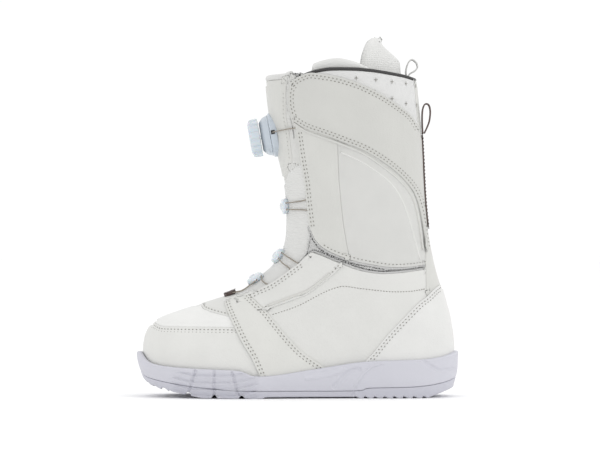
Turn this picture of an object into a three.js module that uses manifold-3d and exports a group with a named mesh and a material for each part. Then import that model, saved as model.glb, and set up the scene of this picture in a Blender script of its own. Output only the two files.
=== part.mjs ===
// A left snowboard boot with a dial-operated wire lace, in millimetres.
// +Z is up, the toe points along -X and the outer side of the foot faces -Y.
// The origin is on the ground, at the middle of the sole's length and width.
//
// The upper is drawn as a form: at each height a closed outline goes from the toe round to the heel.
// Every panel is a layer of that form, cut to its pattern, and patterns are drawn in side view as [x, z].
import * as THREE from "three";
import { mergeVertices } from "three/addons/utils/BufferGeometryUtils.js";
import Module from "manifold-3d";

const wasm = await Module();
wasm.setup();
const { Manifold, Mesh: SolidMesh } = wasm;
const { PI, sin, cos, acos, abs, sign, hypot, floor } = Math;

// ---------------------------------------------------------------- driving dimensions
const soleLength = 290; // toe to heel of the rubber
const soleWidth = 112; // at the ball of the foot
const cuffHeight = 293; // ground to the top of the cuff

const panelThickness = 3.0; // foam-backed base panels of the upper
const overlayThickness = 1.5; // synthetic leather stitched on the base panels
const tongueThickness = 6.4;
const tongueInset = 3.0; // how far the tongue lies under the face of the base panels
const linerFootThickness = 5;
const linerShaftThickness = 9;
const linerSole = 4;
const linerTongueThickness = 8;
const footbedThickness = 4;
const lastingBoardThickness = 2.2;
const heelPadThickness = 6.5;

const seamGap = 0.35; // between two panels that meet edge to edge
const seat = 0.3; // between two layers that lie on each other
const linerClearance = 1.0; // liner to upper
const tongueClearance = 0.9; // tongue to the edges it opens between

const laceDiameter = 1.1;
const laceClearance = 0.6; // round the lace, at the corners of its square tunnels
const guideLoopRadius = 3.0; // the lace's turn round a guide rivet

const reelDiameter = 40; // flange of the reel
const housingDiameter = 37;
const knobDiameter = 34.5;
const knobHeight = 9.6;
const housingHeight = 8.4;
const reelFlangeHeight = 3.2;
const knobGap = 0.9; // under the knob when it is pushed in
const spoolRadius = 6.5;
const windingRadius = 9.5;
const axleRadius = 2.2;

const webbingWidth = 10; // pull loop at the heel
const webbingThickness = 1.5;
const linerTapeWidth = 12;
const pipingRadius = 1.4;
const bindingRadius = 3.0;

// Patterns and the form are drawn for these sizes and graded to the sizes above.
const drawn = { length: 290, width: 112, height: 293 };
const gradeX = soleLength / drawn.length;
const gradeY = soleWidth / drawn.width;
const gradeZ = cuffHeight / drawn.height;
const grade = ([x, z]) => [x * gradeX, z * gradeZ];

// ---------------------------------------------------------------- the form
// [height, foremost x, rearmost x]
const formLines = [
  [-3, -136, 135], [25, -141, 136.5], [40, -141.8, 137], [48, -141.2, 136.8], [56, -139.4, 136],
  [63, -135.5, 134.8], [70, -127, 133.6], [77, -108, 132], [84, -86.5, 130], [88, -73.5, 129],
  [92, -61, 127.8], [99, -52, 126], [110, -38, 122.6], [120, -26.4, 120], [135, -17.6, 117],
  [150, -15.2, 114.6], [176, -15.6, 112], [200, -19, 110.6], [214, -22.2, 110], [239, -27.2, 108.6],
  [257, -31.2, 107], [293, -35, 104], [340, -38, 100],
];
// [height, half widths at seven equal angles from the toe round to the heel]
const formWidths = [
  [-3, 28, 44, 50, 43, 38.5, 38, 26], [40, 30, 46.5, 52, 45, 41, 40, 28], [56, 24.5, 41, 48, 43.5, 40.5, 39.5, 27.5],
  [66, 18.5, 33.5, 42, 42, 40.5, 39, 26.5], [77, 16.5, 28, 37.5, 41, 41, 37.5, 25], [90, 16.5, 29, 39.5, 42.5, 41.5, 35, 21],
  [110, 18, 32, 42.5, 46, 43.5, 34, 18.5], [135, 20, 35.5, 46, 49.5, 45.5, 34.5, 18.5], [176, 21.5, 38.5, 49.5, 53, 49.5, 38, 20.5],
  [239, 23, 41.5, 54, 58, 54, 42, 23], [293, 24, 43.5, 56.5, 61, 57, 44, 24.5], [340, 24.5, 44.5, 57.5, 62, 58, 45, 25],
];
const toeTurn = 6; // the toe's swing towards the inner side of the foot
const rings = 22; // points round each outline
const levels = [6, 30, 46, 58, 68, 77, 85, 93, 104, 120, 150, 190, 240, 304];
const soleLevels = [-3, ...levels.slice(0, 5)];

// The row of a table at a height, on a smooth curve through the table's rows.
function rowAt(rows, height) {
  const z = height / gradeZ;
  const last = rows.length - 1;
  let i = 0;
  while (i < last - 1 && rows[i + 1][0] < z) i += 1;
  const [a, b] = [rows[i], rows[i + 1]];
  const [before, after] = [rows[Math.max(0, i - 1)], rows[Math.min(last, i + 2)]];
  const span = b[0] - a[0];
  const t = (z - a[0]) / span;
  return a.slice(1).map((value, k) => {
    const next = b[k + 1];
    const slopeA = ((next - before[k + 1]) / (b[0] - before[0])) * span;
    const slopeB = ((after[k + 1] - value) / (after[0] - a[0])) * span;
    const rise = next - value;
    if (t <= 0) return value + slopeA * t;
    if (t >= 1) return next + slopeB * (t - 1);
    return value + t * (slopeA + t * (3 * rise - 2 * slopeA - slopeB + t * (slopeA + slopeB - 2 * rise)));
  });
}

// A half width at an angle, smooth through the table's stations and crossing the middle squarely.
function widthAt(stations, angle) {
  const value = (k) => {
    if (k < 0) return -value(-k);
    if (k > stations.length + 1) return -value(2 * stations.length + 2 - k);
    return k === 0 || k === stations.length + 1 ? 0 : stations[k - 1];
  };
  const along = (angle / PI) * (stations.length + 1);
  const i = floor(along);
  const t = along - i;
  const [p, q, r, s] = [value(i - 1), value(i), value(i + 1), value(i + 2)];
  return q + 0.5 * t * (r - p + t * (2 * p - 5 * q + 4 * r - s + t * (3 * (q - r) + s - p)));
}

// Sideways shift of the form's middle line: towards the inner side at the toe, nothing in the shaft.
function middleAt(x, z) {
  const forward = THREE.MathUtils.clamp((40 - x / gradeX) / 185, 0, 1);
  const fade = 1 - THREE.MathUtils.smoothstep(z / gradeZ, 70, 130);
  return toeTurn * (forward * forward - 0.12) * fade;
}

// The point of the form at an angle from the toe, positive on the inner side, and a height.
function formPoint(angle, z) {
  const [front, back] = rowAt(formLines, z);
  const x = ((front + back) / 2 - ((back - front) / 2) * cos(angle)) * gradeX;
  const y = sign(angle) * widthAt(rowAt(formWidths, z), abs(angle)) * gradeY;
  return new THREE.Vector3(x, y + middleAt(x, z), z);
}

// The same point moved outwards by a distance.
function offsetPoint(angle, z, distance) {
  const step = 0.01;
  const round = formPoint(angle + step, z).sub(formPoint(angle - step, z));
  const up = formPoint(angle, z + 0.5).sub(formPoint(angle, z - 0.5));
  const normal = up.cross(round).normalize();
  return formPoint(angle, z).addScaledVector(normal, distance);
}

// The point of the form seen at [x, z] from the side, lifted by a distance; side is -1 outer, 1 inner.
function pointAt(x, z, distance, side) {
  const [front, back] = rowAt(formLines, z).map((value) => value * gradeX);
  const c = THREE.MathUtils.clamp(((front + back) / 2 - x) / ((back - front) / 2), -1, 1);
  return offsetPoint(side * acos(c), z, distance);
}

// ---------------------------------------------------------------- solids
function solid(geometry) {
  const bare = geometry.index ? geometry.toNonIndexed() : geometry.clone();
  bare.deleteAttribute("normal");
  bare.deleteAttribute("uv");
  const merged = mergeVertices(bare, 1e-4);
  const build = (corners) => new Manifold(new SolidMesh({
    numProp: 3,
    vertProperties: merged.attributes.position.array,
    triVerts: new Uint32Array(corners),
  }));
  const body = build(merged.index.array);
  return body.volume() > 0 ? body : build([...merged.index.array].reverse());
}

function geometryOf(body) {
  const { numProp, numVert, vertProperties, triVerts } = body.getMesh();
  const points = new Float32Array(numVert * 3);
  for (let i = 0; i < numVert; i += 1) points.set(vertProperties.subarray(i * numProp, i * numProp + 3), i * 3);
  const geometry = new THREE.BufferGeometry();
  geometry.setAttribute("position", new THREE.BufferAttribute(points, 3));
  geometry.setIndex(new THREE.BufferAttribute(triVerts, 1));
  return geometry.toNonIndexed();
}

// A closed skin through outlines that run from bottom to top, each mirrored about its first point.
function skin(outlines) {
  const count = outlines[0].length;
  const points = outlines.flat();
  const faces = [];
  for (let k = 0; k + 1 < outlines.length; k += 1) {
    for (let j = 0; j < count; j += 1) {
      const [a, b] = [k * count + j, k * count + ((j + 1) % count)];
      faces.push(a, a + count, b + count, a, b + count, b);
    }
  }
  const top = (outlines.length - 1) * count;
  for (let j = 0; j < count / 2; j += 1) {
    const [near, next] = [(count - j) % count, count - j - 1];
    const ladder = [[j, j + 1, next], [j, next, near]];
    for (const [a, b, c] of ladder) {
      if (a === b || b === c || a === c) continue;
      faces.push(a, b, c, top + a, top + c, top + b);
    }
  }
  const geometry = new THREE.BufferGeometry().setFromPoints(points);
  geometry.setIndex(faces);
  return solid(geometry);
}

const around = Array.from({ length: rings }, (_, j) => (j / rings) * 2 * PI);
const signed = (angle) => (angle > PI ? angle - 2 * PI : angle);

// The filled form, moved outwards by a distance that may change with the height.
function formSolid(distance, heights = levels) {
  return skin(heights.map((level) => {
    const z = level * gradeZ;
    const offset = typeof distance === "function" ? distance(z) : distance;
    return around.map((angle) => offsetPoint(signed(angle), z, offset));
  }));
}

const layer = (inner, outer, heights) => formSolid(outer, heights).subtract(formSolid(inner, heights));

// ---------------------------------------------------------------- patterns in side view
const perSpan = 1; // steps between two given points of a pattern line
const smooth = (points) =>
  new THREE.SplineCurve(points.map((p) => new THREE.Vector2(...grade(p))))
    .getPoints((points.length - 1) * perSpan)
    .map(({ x, y }) => [x, y]);
const corners = (...points) => points.map(grade);
const shifted = (points, dx, dz) => points.map(([x, z]) => [x + dx, z + dz]);
const reversed = (points) => [...points].reverse();
function heightOf(line, x) {
  const i = line.findIndex(([u]) => u >= x);
  const [[xa, za], [xb, zb]] = [line[i - 1], line[i]];
  return za + ((zb - za) * (x - xa)) / (xb - xa);
}
// The stretch of a line from one of its given points to another.
const part = (line, from, to = (line.length - 1) / perSpan) => line.slice(from * perSpan, to * perSpan + 1);
// Lines joined end to end, without the points they share.
const chain = (...lines) => lines.flat().filter(([x, z], i, all) => {
  const [u, w] = all[(i + all.length - 1) % all.length];
  return hypot(x - u, z - w) > 0.01;
});

// A closed outline drawn in by a distance, or out by a negative one.
function inset(outline, distance) {
  const area = outline.reduce((sum, [x, z], i) => {
    const [u, w] = outline[(i + 1) % outline.length];
    return sum + x * w - u * z;
  }, 0);
  const turn = sign(area) * distance;
  return outline.map(([x, z], i) => {
    const [px, pz] = outline[(i + outline.length - 1) % outline.length];
    const [nx, nz] = outline[(i + 1) % outline.length];
    const before = new THREE.Vector2(x - px, z - pz).normalize();
    const after = new THREE.Vector2(nx - x, nz - z).normalize();
    const normal = new THREE.Vector2(-before.y - after.y, before.x + after.x);
    const length = Math.max(normal.length(), 0.8);
    normal.normalize().multiplyScalar((turn * 2) / length);
    return [x + normal.x, z + normal.y];
  });
}

// The column of space behind an outline, across the boot from one y to another.
function column(outline, from = -120, to = 120) {
  const shape = new THREE.Shape(outline.map((p) => new THREE.Vector2(...p)));
  const geometry = new THREE.ExtrudeGeometry(shape, { depth: to - from, bevelEnabled: false });
  return solid(geometry.rotateX(PI / 2).translate(0, to, 0));
}

const sides = { lateral: [-120, -seamGap / 2], medial: [seamGap / 2, 120] };
const pattern = (outline, side) => column(inset(outline, seamGap / 2), ...(side ? sides[side] : []));

// ---------------------------------------------------------------- pattern lines
const far = 160; // past the toe and the heel
// The inside floor of the midsole, rising to the toe and the heel.
const floorLine = smooth([[-far, 30], [-142, 26.5], [-125, 21.5], [-100, 16], [-70, 13], [-40, 12.5], [20, 16], [60, 20], [far, 22]]);
// The rim of the midsole.
const rimLine = smooth([
  [-far, 46], [-143, 41], [-131, 31], [-105, 27.3], [-59, 25.3], [-49, 23.2], [-41, 20.3], [-22, 20.8], [20, 27.3],
  [59, 32.8], [113, 35], [137, 41], [far, 52],
]);
// Bottom and top of the rubber outsole.
const treadLine = corners(
  [-far, 30], [-142, 20.7], [-138, 15.3], [-133, 11.2], [-121.5, 7.2], [-101.7, 3.6], [-85.5, 0], [-33, 0], [-31, 2.6],
  [47, 2.6], [49, 0], [113, 0], [119.7, 2.5], [135, 8.1], [140.4, 12.6], [145, 19], [far, 30],
);
const outsoleTop = smooth([
  [-far, 34], [-141, 23.5], [-134, 18], [-113, 13.2], [-90, 9.8], [-60, 7.2], [-31, 6.6], [47, 6.6], [62, 9], [100, 10],
  [125, 13.5], [143, 21], [far, 34],
]);
const strapMiddle = smooth([[-58.5, 97], [-56, 89], [-47, 76], [-37.5, 61.5], [-25, 45], [-11, 30], [0, 12]]);
const randSeam = smooth([[-far, 70], [-133, 66.8], [-124.5, 63.8], [-110, 63.4], [-61, 63.2], [-37.5, 61.5]]);
const throatSeam = smooth([[-89.5, 92], [-88, 81], [-81.5, 77.2], [-69.8, 74], [-60, 72.5], [-47, 76]]);
const strapFront = smooth([[-67.5, 84], [-64, 75], [-58, 62.5], [-50.4, 48], [-42.6, 35], [-34, 15]]);
const strapBack = smooth([[-46.4, 91.6], [-31, 78.3], [-17, 61.5], [0, 43.2], [20.7, 28.3], [34, 18]]);
// The top of the lower boot: along the lace opening, over the ankle peak and round the ankle.
const openingFront = smooth([[-56, 89], [-46.4, 91.6], [-36.6, 96.4], [-22, 104], [0, 120]]);
const openingPeak = smooth([[0, 120], [5.5, 125.8], [10.8, 129.6]]);
const ankleEdge = smooth([[10.8, 129.6], [20, 126.3], [37.8, 118.8], [53, 113.4], [70.7, 110.6], [88.3, 111.2], [112.5, 114.4]]);
const ankleCorner = smooth([[0, 120], [4, 128], [6.4, 138], [7.9, 152.7]]);
// The edge of the cuff: down the lace opening and round the ankle.
const cuffFront = smooth([
  [-8, 280], [-9.6, 271], [-9.2, 259], [-6.4, 247], [-3.5, 236.5], [0, 212], [3.4, 192], [5.7, 170.6], [7.9, 152.7],
]);
const cuffCorner = smooth([[7.9, 152.7], [12.5, 142], [18.9, 134.5]]);
const cuffBottom = smooth([[18.9, 134.5], [27.8, 129.4], [44, 123.2], [60.6, 119.4], [80.8, 116.4], [100, 117], [112.5, 118.8]]);
const cuffTop = smooth([
  [-far, 279], [-20, 279], [-2, 285], [5.4, 288.6], [15.7, 291.4], [28, 293], [46.7, 293], [63, 292], [78.7, 290], [93, 288], [112, 285], [far, 284],
]);
const overlayUpper = smooth([
  [-8, 280], [-2, 284.4], [7.4, 288.2], [17.7, 287.6], [36.4, 284], [55, 277.7], [73.5, 268.5], [88, 259], [98.3, 251],
  [105.4, 240],
]);
const overlayLower = smooth([
  [-6.4, 247], [5.4, 239.4], [21.9, 233.3], [36.4, 227.7], [57, 219.3], [75.8, 207.7], [91, 195], [101, 182],
  [107, 164], [112.4, 132],
]);
const collarSeam = smooth([
  [-8, 280], [6.4, 282.2], [16.7, 281.6], [35.4, 278], [54, 271.7], [72.5, 262.5], [87, 253], [97.3, 245], [106, 234],
]);
const eyestayLower = smooth([[-31, 78.3], [0, 89.4], [8.7, 93.8], [28.4, 109], [37.8, 118.8]]);
const cuffSeam = smooth([[35.4, 278], [33.5, 232], [34, 201.4], [36, 176], [39, 150.8], [44, 123.2]]);
const heelEdge = smooth([[56, 10], [56, 29], [65.6, 41.4], [78.3, 57], [91.3, 70.7], [103.3, 82.8], [112, 89.6], [126.6, 101], [far, 112]]);
const tongueTop = smooth([[-far, 281], [-31, 281.5], [-14, 283.5], [0, 285.5], [30, 288], [far, 290]]);
// Seams on the face of the tongue.
const facingSeam = smooth([[-13.5, 300], [-14.5, 272], [-14.5, 250], [-12.6, 240], [-9.5, 212], [-12, 204]]);
const facingLower = smooth([[-12, 204], [-18, 192], [-30, 186], [-60, 184]]);
const linerTop = smooth([[-far, 280], [-8, 286], [10, 297], [31, 301.5], [48, 299], [62, 294], [80, 286], [far, 284]]);
const padOutline = smooth([[58, 236], [57, 270], [61.5, 298], [67.5, 314], [75.6, 320.4], [82, 320.4], [87.5, 313], [130, 290]]);
const backSeam = smooth([
  [96, 340], [101.3, 293], [105.4, 240], [106, 234], [109.2, 190], [111.3, 157], [112.4, 132], [112.5, 118.8],
  [112.5, 114.4], [112.5, 92],
]);
const sky = 340;
const ground = -60;

// ---------------------------------------------------------------- materials
const finish = (color, roughness, metalness = 0) => new THREE.MeshStandardMaterial({ color, roughness, metalness });
const leather = finish("#e4e4df", 0.5);
const quilted = finish("#e4e4e3", 0.85);
const textile = finish("#dcdcda", 0.9);
const rubber = finish("#d6d5dc", 0.6);
const foam = finish("#dad9e0", 0.65);
const board = finish("#b9a98a", 0.9);
const reelPlastic = finish("#d3dae0", 0.3);
const guidePlastic = finish("#dce3ea", 0.25);
const blackPlastic = finish("#17181a", 0.4);
const steel = finish("#c9ccd0", 0.2, 1);
const laceWire = finish("#8d8983", 0.4, 0.6);
const darkWebbing = finish("#58494a", 0.85);
const piping = finish("#4a4846", 0.8);
const linerTextile = finish("#ececeb", 0.95);

const boot = new THREE.Group();
function add(name, shape, material, group = boot) {
  const geometry = shape.isBufferGeometry ? shape : geometryOf(shape);
  geometry.computeVertexNormals();
  const mesh = new THREE.Mesh(geometry, material);
  mesh.name = name;
  group.add(mesh);
  return mesh;
}

// ---------------------------------------------------------------- sole unit
const above = (line) => column([...line, [far, sky], [-far, sky]]);
const below = (line) => column([...line, [far, ground], [-far, ground]]);
const raised = (line, by) => shifted(line, 0, by);

const rimProud = 5.3; // the rim of the midsole beyond the upper
const cupProud = overlayThickness + 2 * seat; // the inside of the rim
const rubberEdge = (z) => rimProud - 3.4 * THREE.MathUtils.clamp((12 - z) / 15, 0, 1);
const lugPitch = 8.8;
const heelLugs = 7;
const lugGroove = { width: 3.6, depth: 3, pad: 15 };
const foreGrooves = [-78, -66, -54, -42];
const boardTop = seat + lastingBoardThickness;
const heelPad = { from: 66, to: 114, wall: 16 };
const shank = { from: -46, to: 52, halfWidth: 15, thickness: 1.8 };

const soleForm = formSolid(rubberEdge, soleLevels);

function outsole() {
  const body = column([...treadLine, ...reversed(outsoleTop)]).intersect(soleForm);
  const heelGrooves = Array.from({ length: heelLugs }, (_, i) => 54.5 + i * lugPitch);
  const grooves = [...foreGrooves, ...heelGrooves].flatMap((x) => {
    const { width, depth, pad } = lugGroove;
    const outline = corners([x - width / 2, -1], [x + width / 2, -1], [x + width / 4, depth], [x - width / 4, depth]);
    return [column(outline, -120, -pad), column(outline, pad, 120)];
  });
  return body.subtract(Manifold.union(grooves));
}

const between = (x0, x1, low, high) => {
  const within = (line) => line.filter(([x]) => x > x0 && x < x1);
  const at = (line, x) => [x, heightOf(line, x)];
  return [at(low, x0), ...within(low), at(low, x1), at(high, x1), ...reversed(within(high)), at(high, x0)];
};
const heelPadOutline = (gap) => between(
  heelPad.from * gradeX - gap, heelPad.to * gradeX + gap,
  raised(floorLine, -heelPadThickness - seat - gap), raised(floorLine, gap ? 1 : -seat),
);
const shankOutline = (gap) => between(
  shank.from * gradeX - gap, shank.to * gradeX + gap,
  raised(floorLine, -shank.thickness - seat - gap), raised(floorLine, gap ? 1 : -seat),
);
const heelPadForm = (gap) => column(heelPadOutline(gap)).intersect(formSolid(-heelPad.wall + gap, soleLevels));
const shankForm = (gap) => column(shankOutline(gap), -shank.halfWidth - gap, shank.halfWidth + gap);

function midsole() {
  const body = soleForm.intersect(column([...raised(outsoleTop, seat), ...reversed(rimLine)]));
  const cup = formSolid(cupProud, soleLevels).intersect(above(floorLine));
  return body.subtract(cup).subtract(heelPadForm(seat)).subtract(shankForm(seat));
}

function lastingBoard() {
  const outline = [...raised(floorLine, seat), ...reversed(raised(floorLine, boardTop))];
  return formSolid(-panelThickness - seat, soleLevels).intersect(column(outline));
}

add("outsole", outsole(), rubber);
add("midsole", midsole(), foam);
add("heel_pad", heelPadForm(0), foam);
add("shank", shankForm(0), blackPlastic);
add("lasting_board", lastingBoard(), board);

// ---------------------------------------------------------------- lace and what it runs through
const reelHeight = 234.5 * gradeZ;
const reelTilt = THREE.MathUtils.degToRad(10); // the dial faces a little down
const reelCentre = offsetPoint(0, reelHeight, -tongueInset);
const reelMatrix = new THREE.Matrix4().makeBasis(
  new THREE.Vector3(-sin(reelTilt), 0, cos(reelTilt)),
  new THREE.Vector3(0, 1, 0),
  new THREE.Vector3(-cos(reelTilt), 0, -sin(reelTilt)),
).setPosition(reelCentre);
const portHeight = reelFlangeHeight + seat + housingHeight / 2;
const guideHeights = [170.6, 126.6, 106.5];
const guide = { width: 32, height: 14, thickness: 4.6, corner: 6, rivet: 2 };
const guideLace = guide.thickness / 2 - tongueInset + 0.7;

const inReel = (x, y, z) => new THREE.Vector3(x, y, z).applyMatrix4(reelMatrix);

// A point on the tongue's middle, moved along and across its face.
function guidePoint(height, side, across, along, distance) {
  const z0 = height * gradeZ;
  const climb = formPoint(0, z0 + 0.5).sub(formPoint(0, z0 - 0.5)).normalize().z;
  const z = z0 + along * climb;
  const perAngle = (formPoint(0.1, z).y - formPoint(0, z).y) / 0.1;
  return offsetPoint((side * across) / perAngle, z, distance);
}

function guideTurn(height, side) {
  const r = guideLoopRadius;
  const near = guide.rivet + laceDiameter + 1.3 + 0.9 * r;
  return [
    [guide.width / 2 + 1, r], [near + r + 2, r], [near + r * 0.4, r], [near - r * 0.5, r * 0.7], [near - r * 0.9, 0],
    [near - r * 0.5, -r * 0.7], [near + r * 0.4, -r], [near + r + 2, -r], [guide.width / 2 + 1, -r],
  ].map(([across, along]) => guidePoint(height, side, across, along, guideLace));
}

function laceRoute(side) {
  const on = (x, z, distance = -panelThickness / 2) => pointAt(...grade([x, z]), distance, side);
  const at = (degrees, z, distance) => offsetPoint(side * THREE.MathUtils.degToRad(degrees), z * gradeZ, distance);
  const [upper, middle, lower] = guideHeights;
  return [
    inReel(0, side * 11.4, portHeight), inReel(0, side * 15, portHeight), inReel(0, side * 19.6, portHeight),
    on(-10.5, 239.2, -0.6), on(-4.6, 239.8), on(1, 238), on(5.2, 232.5), on(7, 223), on(9, 204), on(10.6, 186),
    on(9.8, 180), on(5.8, 176.8), on(0, 175, -1.4), at(27, 174, -1), ...guideTurn(upper, side), at(27, 167.6, -1), on(0, 167.4, -1.4),
    on(6, 166.8),
    on(11.5, 165), on(15, 159.5), on(17.4, 151), on(20, 142.5), on(22, 135), on(21.6, 129), on(18.6, 123.6),
    on(13, 120.4), on(6.5, 119.4), on(-1, 119.9), on(-6, 122, -1.4), at(29, 126.6, -0.7), ...guideTurn(middle, side), at(30, 120.4, -0.5), on(-10.6, 116.4, -1.4),
    on(-8.8, 112.4), on(-8.6, 107.6), on(-12, 103.2), on(-17.5, 100.4), on(-23, 99.6), on(-28.6, 101),
    at(27.5, 105, -1.6), ...guideTurn(lower, side), at(17, 99, -1.3), at(15.5, 95.2, -0.5), at(14.5, 93, 1), at(12.5, 91.8, 1.9),
    at(6, 91.4, 1.9), at(0.6, 91.3, 1.9),
  ];
}

// A curve through points that gives each stretch between two points the same number of steps.
class Route extends THREE.CatmullRomCurve3 {
  constructor(points) {
    super(points, false, "centripetal");
  }
  getPointAt(t) {
    return this.getPoint(t);
  }
  getTangentAt(t) {
    return this.getTangent(t);
  }
  getSpacedPoints(steps) {
    return this.getPoints(steps);
  }
}

function tube(points, radius, perStretch = 1, corners = 6) {
  const circle = new THREE.Shape().absarc(0, 0, radius, 0, 2 * PI);
  const steps = (points.length - 1) * perStretch;
  return solid(new THREE.ExtrudeGeometry(circle, { curveSegments: corners / 2, steps, extrudePath: new Route(points) }));
}

const routes = { lateral: laceRoute(-1), medial: laceRoute(1) };
const bores = {};
for (const side of ["lateral", "medial"]) {
  add(`lace_${side}`, tube(routes[side], laceDiameter / 2), laceWire);
  bores[side] = tube(routes[side], laceDiameter / 2 + laceClearance, 1, 4);
}
const laceBores = Manifold.union(Object.values(bores));

// ---------------------------------------------------------------- the upper
const insideRim = above(raised(floorLine, seat)).intersect(below(raised(cuffTop, -2 * pipingRadius - seat)));
const baseLayer = layer(-panelThickness, 0).intersect(insideRim).subtract(laceBores);
const overlayLayer = layer(seat, seat + overlayThickness).intersect(
  above(raised(rimLine, -5)),
).intersect(below(raised(cuffTop, -2 * pipingRadius - seat)));

const toeOutline = chain(randSeam, part(strapMiddle, 3), [[0, ground], [-far, ground]]);
const vampOutline = chain(
  randSeam, reversed(part(strapMiddle, 2, 3)), reversed(throatSeam), corners([-89.5, 130], [-far, 130]),
);
const throatOutline = chain(throatSeam, reversed(part(strapMiddle, 0, 2)), corners([-60, 130], [-89.5, 130]));
const seamFoot = backSeam.at(-1);
const quarterOutline = chain(
  part(strapMiddle, 1), [[0, ground], [far, ground], [far, seamFoot[1]], seamFoot], reversed(ankleEdge),
  reversed(openingPeak), reversed(openingFront),
);
const gussetOutline = chain(openingPeak, ankleEdge, reversed(cuffBottom), reversed(cuffCorner), reversed(ankleCorner));
const cuffFrontOutline = chain(
  cuffFront, cuffCorner, part(cuffBottom, 0, 2), reversed(cuffSeam), reversed(part(collarSeam, 0, 3)),
);
const cuffSideOutline = chain(
  part(collarSeam, 3), part(backSeam, 3, 7), reversed(part(cuffBottom, 2)), reversed(cuffSeam),
);
const collarOutline = chain(collarSeam, reversed(part(backSeam, 0, 3)), corners([-8, 330]));
const backstayOutline = [...backSeam, [far, seamFoot[1]], [far, sky]];
const strapOutline = chain(strapFront, reversed(strapBack), corners([-56, 89]));
const eyestayOutline = chain(
  part(openingFront, 1), openingPeak, part(ankleEdge, 0, 2), reversed(eyestayLower), reversed(part(strapBack, 0, 1)),
);
const heelOutline = [...heelEdge, [far, ground], ...corners([56, 0])];
const cuffStrapOutline = chain(overlayUpper, part(backSeam, 2, 6), reversed(overlayLower), corners([-9.2, 259], [-9.6, 271]));

const whole = (name, source, outline, material) => add(name, source.intersect(pattern(outline)), material);
function pair(name, source, outline, material) {
  for (const side of ["lateral", "medial"]) {
    add(`${name}_${side}`, source.intersect(pattern(outline, side)), material);
  }
}

whole("toe_rand", baseLayer, toeOutline, leather);
whole("vamp_top", baseLayer, vampOutline, leather);
whole("throat_panel", baseLayer, throatOutline, leather);
pair("quarter", baseLayer, quarterOutline, leather);
pair("ankle_gusset", baseLayer, gussetOutline, textile);
pair("cuff_front", baseLayer, cuffFrontOutline, leather);
pair("cuff_side", baseLayer, cuffSideOutline, textile);
pair("collar", baseLayer, collarOutline, quilted);
whole("backstay", baseLayer, backstayOutline, leather);
pair("forefoot_strap", overlayLayer, strapOutline, leather);
pair("eyestay", overlayLayer, eyestayOutline, leather);
whole("heel_counter", overlayLayer, heelOutline, leather);
pair("cuff_strap", overlayLayer, cuffStrapOutline, leather);

// Rounded edging along the top of the cuff.
function collarPiping() {
  const level = raised(cuffTop, -pipingRadius);
  const turns = [0.84, 0.95, 1.1, 1.3, 1.5, 1.7, 1.9, 2.15, 2.4, 2.65, 2.85, 3.02];
  const at = (turn) => {
    const { x } = offsetPoint(turn, 288 * gradeZ, -panelThickness / 2);
    return offsetPoint(turn, heightOf(level, x), -panelThickness / 2);
  };
  return tube([...turns.map(at), ...reversed(turns).map((turn) => at(-turn))], pipingRadius);
}
add("collar_piping", collarPiping(), piping);

// Webbing sewn down the back of the cuff, with a loop to pull the boot on by.
const webbingForm = (inner, outer) => layer(seat + inner, seat + outer);
const strapSpan = { foot: 152 * gradeZ, top: 235 * gradeZ };
const loopHinge = new THREE.Vector3(110.9 * gradeX, 0, 236 * gradeZ);
const acrossWebbing = (outline, width) => column(outline, -width / 2, width / 2);

function pullStrap() {
  const outline = [[80, strapSpan.foot], [far, strapSpan.foot], [far, strapSpan.top - seat], [80, strapSpan.top - seat]];
  return webbingForm(0, webbingThickness).intersect(acrossWebbing(outline, webbingWidth));
}
function pullLoop() {
  const outer = smooth([
    [109.6, 235.4], [109, 246], [109.3, 256], [111, 262], [113.6, 263.8], [116.6, 262], [118, 256], [117.2, 247], [114.6, 240],
    [111.6, 235.2],
  ]);
  const inner = smooth([
    [110.9, 243.5], [110.6, 249], [110.9, 256], [112, 260.8], [113.6, 262.2], [115.4, 261], [116.4, 255.8], [115.7, 248.6],
    [113.6, 243.4], [112.2, 241.6],
  ]);
  return acrossWebbing(outer, webbingWidth).subtract(acrossWebbing(inner, webbingWidth + 2));
}
add("pull_strap", pullStrap(), darkWebbing);
add("pull_loop", pullLoop(), darkWebbing);

// ---------------------------------------------------------------- tongue
const tongueBack = tongueInset + tongueThickness;
const tongueOutline = (gap) => inset(chain(
  part(strapMiddle, 0, 1), openingFront, ankleCorner, reversed(cuffFront),
  corners([-2, 285], [-2, sky], [-far, sky], [-far, 130], [-60, 130]),
), gap);
const tongueColumn = column(tongueOutline(tongueClearance));
const facingThickness = 1.5;
const facingLayer = layer(-tongueInset - facingThickness, -tongueInset)
  .intersect(tongueColumn).intersect(below(raised(tongueTop, -seat)));
const facings = {
  upper: [...facingSeam, ...facingLower.slice(1), [-far, 184 * gradeZ], [-far, sky]],
  side: [...facingSeam, ...corners([60, 204], [60, 300])],
  lower: [...facingLower, ...corners([-far, 184], [-far, 60], [60, 60], [60, 204])],
};

add("tongue_body", layer(-tongueBack, -tongueInset - facingThickness - seat)
  .intersect(tongueColumn).intersect(below(tongueTop)), quilted);
whole("tongue_facing_upper", facingLayer, facings.upper, leather);
pair("tongue_facing_side", facingLayer, facings.side, textile);
whole("tongue_facing_lower", facingLayer, facings.lower, textile);

function tongueBinding() {
  const depth = -tongueInset - tongueThickness / 2;
  const turns = [-42, -34, -25, -15, -5, 5, 15, 25, 34, 42].map((degrees) => THREE.MathUtils.degToRad(degrees));
  const top = (turn) => {
    const { x } = offsetPoint(turn, 284 * gradeZ, depth);
    return heightOf(tongueTop, x);
  };
  return tube(turns.map((turn) => offsetPoint(turn, top(turn) + bindingRadius + seat, depth)), bindingRadius, 1, 8);
}
add("tongue_binding", tongueBinding(), quilted);

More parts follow.
